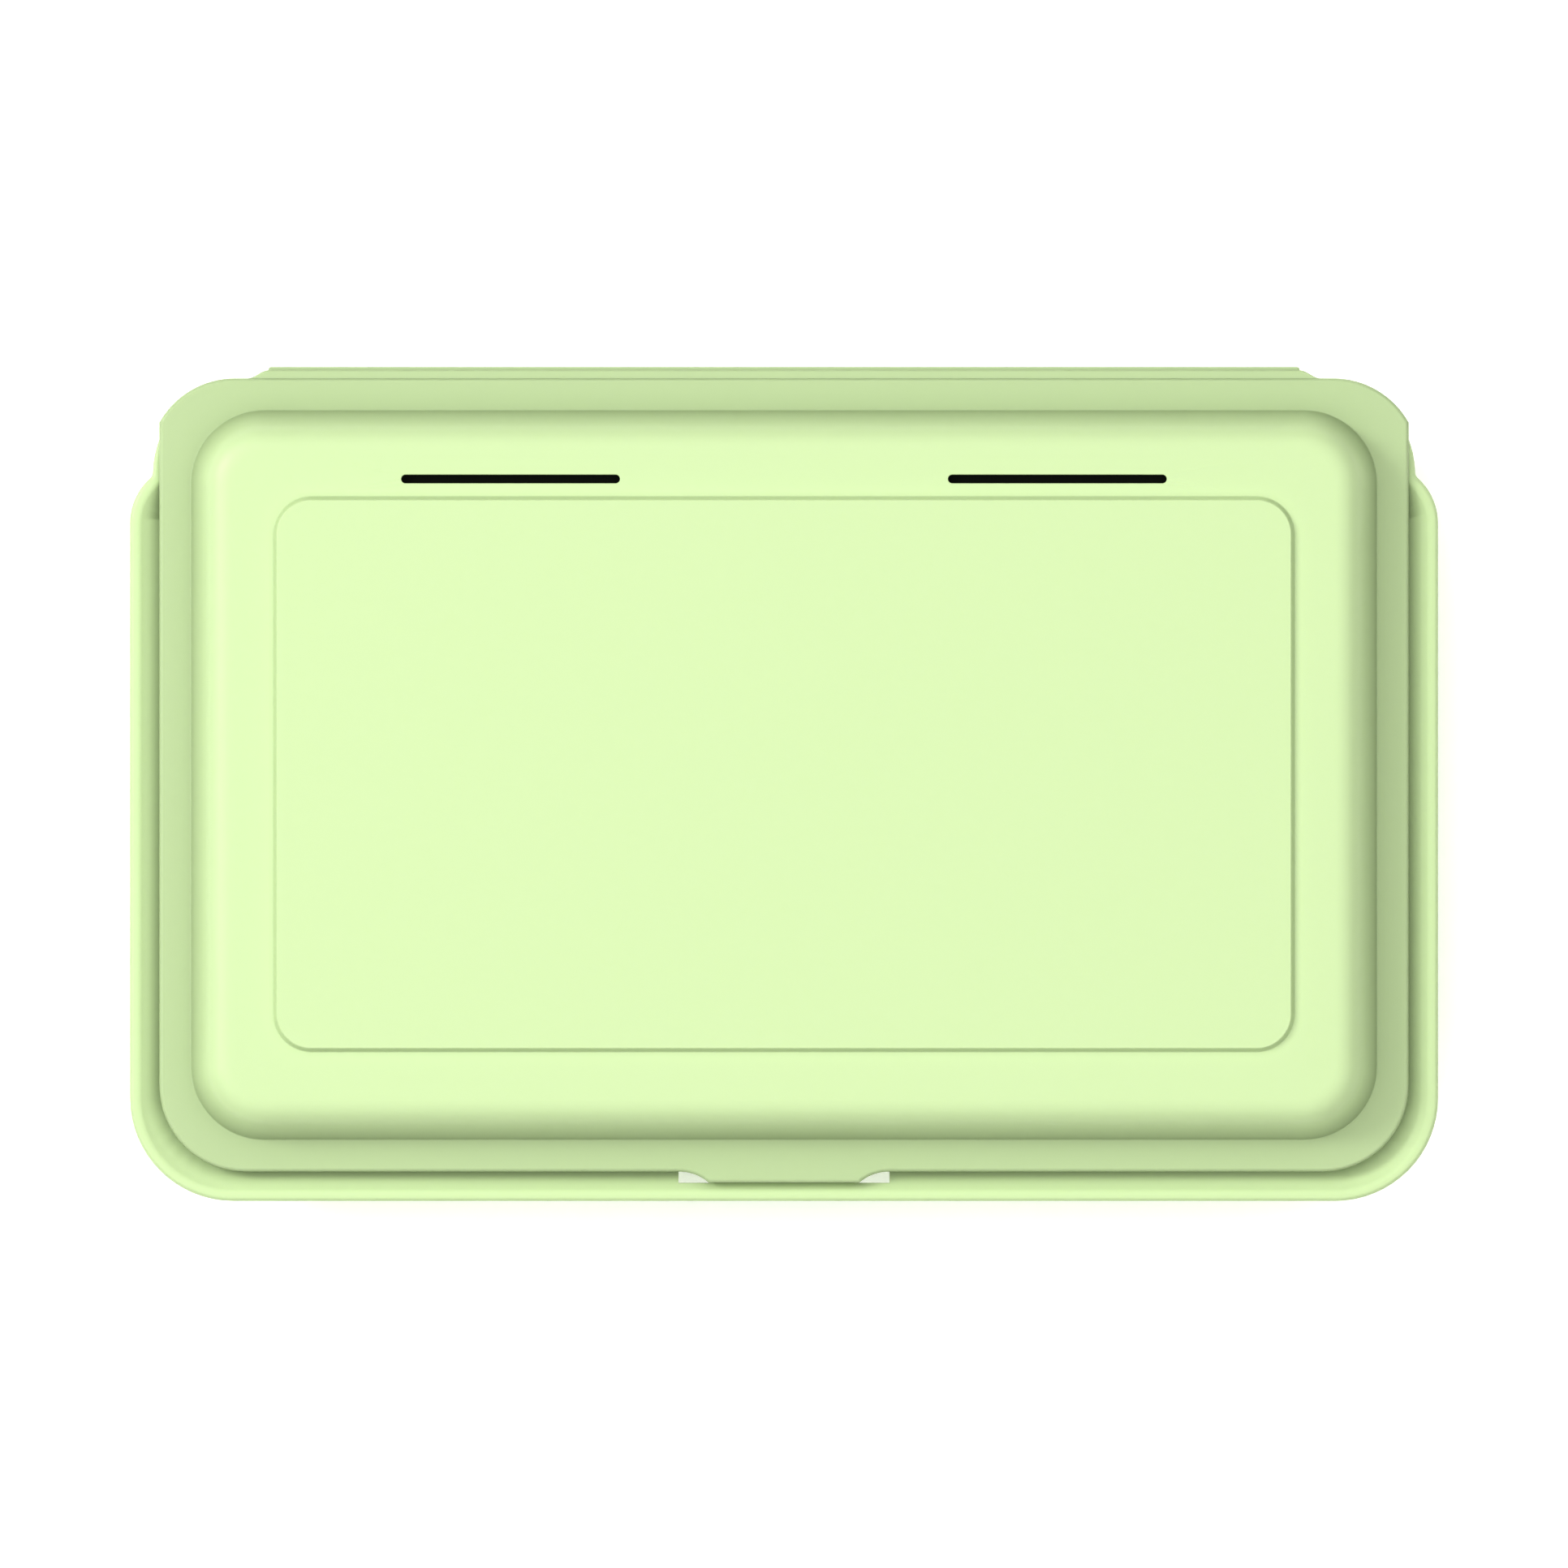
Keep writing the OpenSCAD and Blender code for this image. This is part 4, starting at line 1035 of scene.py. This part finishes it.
def battery_sleeve():
    """Printed shrink film on the cells, glossy with light scuffs: yellow, with a copper band at one end."""
    made = Finish("printed_shrink_film_gloss")
    spread = made.add("ShaderNodeSeparateXYZ", Vector=made.place)
    ends = made.add("ShaderNodeMath", {"operation": "GREATER_THAN"}, _0=spread.outputs["X"], _1=10 * MM)
    tone = made.add("ShaderNodeMix", {"data_type": "RGBA"}, _0=ends.outputs[0], _6=linear("#d8b33a"),
                    _7=linear("#c78a4a"))
    made.wire("Base Color", tone.outputs[2])
    scuffs = made.add("ShaderNodeTexNoise", Vector=made.place, Scale=150.0, Detail=4.0)
    sheen = made.add("ShaderNodeMapRange", Value=scuffs.outputs[0], To_Min=0.22, To_Max=0.36)
    made.wire("Roughness", sheen.outputs[0])
    made.set(IOR=1.5)
    return made.material


CELL_LOW, CELL_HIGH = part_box("battery_cells")
CELL_Z = (CELL_LOW.z + CELL_HIGH.z) / 2
CELL_PITCH = 11.6 * MM
BARE_END = 21.45 * MM                    # beyond this from its middle a cell is bare steel
CELL_SHIFT = 2.4 * MM                    # how far a cell lies towards its flat contact, away from the spring


def make_cells():
    """Three cells laid head to tail, each with its steel button and rolled edges."""
    profile = [(0, -21.6), (4.6, -21.6), (4.8, -21.7), (5.1, -21.7), (5.25, -21.4), (5.25, 21.4),
               (5.1, 21.7), (4.8, 21.7), (4.6, 21.5), (2.3, 21.5), (2.2, 21.7), (1.9, 22.0),
               (1.8, 22.25), (0, 22.25)]
    bm = bmesh.new()
    for row in (-1, 0, 1):
        way = -1 if row == 0 else 1
        start = len(bm.verts)
        first = len(bm.faces)
        turned(bm, [(r * MM, h * MM) for r, h in profile], (0, 0), 40)
        bm.verts.ensure_lookup_table()
        bm.faces.ensure_lookup_table()
        for face in bm.faces[first:]:
            if abs(face.calc_center_median().z) > BARE_END:
                face.material_index = 1
        for vert in bm.verts[start:]:
            x, y, h = vert.co
            vert.co = (way * (h + CELL_SHIFT), y + row * CELL_PITCH, CELL_Z + x)
    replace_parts(finish(bm, "cells", "base", "cells", battery_sleeve(), steel), "battery_cells")


def make_springs():
    """Conical coil springs that press on the cells, each wound on its contact plate."""
    low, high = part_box("battery_springs")
    wire, turns, steps, facets = 0.35 * MM, 4, 24, 8
    tab_thick, length = 0.45 * MM, 4.6 * MM
    start_x = 0.5 * MM
    bm = bmesh.new()
    for row in (-1, 0, 1):
        way = -1 if row == 0 else 1
        wall, y = low.x if way > 0 else high.x, row * CELL_PITCH
        bmesh.ops.create_cube(bm, size=1, matrix=Matrix.Translation((wall + way * tab_thick / 2, y, CELL_Z))
                              @ Matrix.Diagonal((tab_thick, 9.2 * MM, 8 * MM, 1)))
        rings = []
        for n in range(turns * steps + 1):
            t = n / (turns * steps)
            angle = 2 * pi * turns * t
            reach = (3.4 - 1.4 * t) * MM
            spot = Vector((wall + way * (start_x + (length - start_x) * t),
                           y + reach * cos(angle), CELL_Z + reach * sin(angle)))
            out = Vector((0, cos(angle), sin(angle)))
            verts = [bm.verts.new(spot + wire * (out * cos(a) + Vector((1, 0, 0)) * sin(a)))
                     for a in (2 * pi * k / facets for k in range(facets))]
            rings.append([bm.edges.new(pair) for pair in zip(verts, verts[1:] + verts[:1])])
        for one, two in zip(rings, rings[1:]):
            bmesh.ops.bridge_loops(bm, edges=one + two)
        for end in (rings[0], rings[-1]):
            bmesh.ops.contextual_create(bm, geom=end)
    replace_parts(finish(bm, "springs", "base", "contacts", steel), "battery_springs")


make_lid()
make_base()
make_fold()
make_tongue()
make_deck()
make_screen()
make_grilles()
for node in BUTTONS:
    make_button(node)
for pad, pressed_by in KEYPADS.items():
    make_keypad(pad, pressed_by)
make_volume("volume_down_button", oval(6.4, 1.3))
make_volume("volume_up_button", plus)
make_slider()
make_light()
make_feet()
make_door()
make_cells()
make_springs()

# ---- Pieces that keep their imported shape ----

KEPT = {
    "slot_cloths": cloth_black,
    "slot_retainers": lid_green,
    "display_panel": display_dark,
    "display_frame": screw_steel,
    "main_board": board_green,
    "key_board": board_green,
    "battery_contacts": steel,
    "deck_screws": screw_steel,
    "board_screws": screw_steel,
    "battery_door_screw": screw_steel,
    # Tin plate on the switch's steel can: pale and softly bright
    "power_switch": metal("tinned_steel_satin", "#b9bec2"),
    # Polyimide film: amber, smooth and shiny
    "ribbon_cables": moulded("amber_polyimide_film_gloss", "#c98a3a", "#d09445", (0.3, 0.4)),
    # Moulded epoxy: near black with a soft dull sheen
    "board_chips": moulded("black_epoxy_satin", "#20242a", "#272b31", (0.45, 0.6)),
    # ABS speaker baskets, matt: dark grey without highlights
    "speaker_left": moulded("dark_grey_abs_matt", "#4a4f54", "#50555a", (0.5, 0.62)),
    # Pressed paper cones: dull and slightly mottled
    "speaker_cones": moulded("black_paper_cone_matt", "#2a2d30", "#323538", (0.75, 0.9), 400.0),
    # Foam rings: the dullest surface, with an open grain
    "speaker_gaskets": moulded("charcoal_foam_matt", "#3a3d3a", "#454844", (0.85, 0.95), 900.0),
    # Red PVC sleeve, satin: a thin soft line of light along the lead
    "speaker_leads": moulded("red_pvc_satin", "#b5483c", "#bb5145", (0.4, 0.5)),
    # Slate PVC sleeve, satin: as the red one
    "battery_leads": moulded("slate_pvc_satin", "#3a4048", "#424850", (0.4, 0.5)),
    # ABS box, finely textured: even grey
    "battery_box": moulded("grey_abs_fine_texture", "#5b6064", "#62676b", (0.45, 0.55)),
}
KEPT["speaker_right"] = KEPT["speaker_left"]
for node, material in KEPT.items():
    NODES[node].data.materials.clear()
    NODES[node].data.materials.append(material)


# ---- Stage, light and camera ----

def stage_floor():
    """Sheet of white paper, matt, that glows a little so that shadows on it stay faint."""
    made = Finish("white_paper_matt")
    fibre = made.add("ShaderNodeTexNoise", Vector=made.place, Scale=400.0, Detail=3.0)
    tone = made.add("ShaderNodeMix", {"data_type": "RGBA"}, _0=fibre.outputs[0], _6=linear("#fbfbfa"),
                    _7=linear("#fefefe"))
    made.wire("Base Color", tone.outputs[2])
    made.set(Roughness=0.9, Emission_Color=linear("#ffffff"), Emission_Strength=0.15)
    bm = bmesh.new()
    bmesh.ops.create_grid(bm, x_segments=1, y_segments=1, size=4)
    mesh = bpy.data.meshes.new("floor")
    bm.to_mesh(mesh)
    bm.free()
    mesh.materials.append(made.material)
    floor = bpy.data.objects.new("floor", mesh)
    bpy.context.scene.collection.objects.link(floor)


def soft_light(name, place, size, power):
    """Square white area light that faces the tablet."""
    lamp = bpy.data.lights.new(name, "AREA")
    lamp.size, lamp.energy = size, power
    light = bpy.data.objects.new(name, lamp)
    light.location = place
    light.rotation_euler = (-Vector(place)).to_track_quat("-Z", "Y").to_euler()
    bpy.context.scene.collection.objects.link(light)


def look_down(width, lens):
    """Camera straight above, far off with a long lens, so that the case shows no perspective."""
    shot = bpy.data.cameras.new("camera")
    shot.lens, shot.sensor_width = lens, 36
    shot.clip_end = 100
    camera = bpy.data.objects.new("camera", shot)
    camera.location = (0, 0, LID_HIGH.z + width * lens / 36)
    bpy.context.scene.collection.objects.link(camera)
    bpy.context.scene.camera = camera


stage_floor()
world = bpy.data.worlds.new("studio")
bpy.context.scene.world = world
world.use_nodes = True
sky = world.node_tree.nodes["Background"].inputs
sky["Color"].default_value = linear("#ffffff")
sky["Strength"].default_value = 0.03
soft_light("overhead", (0, 0, 1.2), 4.2, 86)
soft_light("key", (-1.67, 0.61, 1.29), 0.7, 18)
look_down(0.2873, 1200)
bpy.context.scene.view_settings.view_transform = "Standard"
bpy.context.scene.view_settings.gamma = 0.625
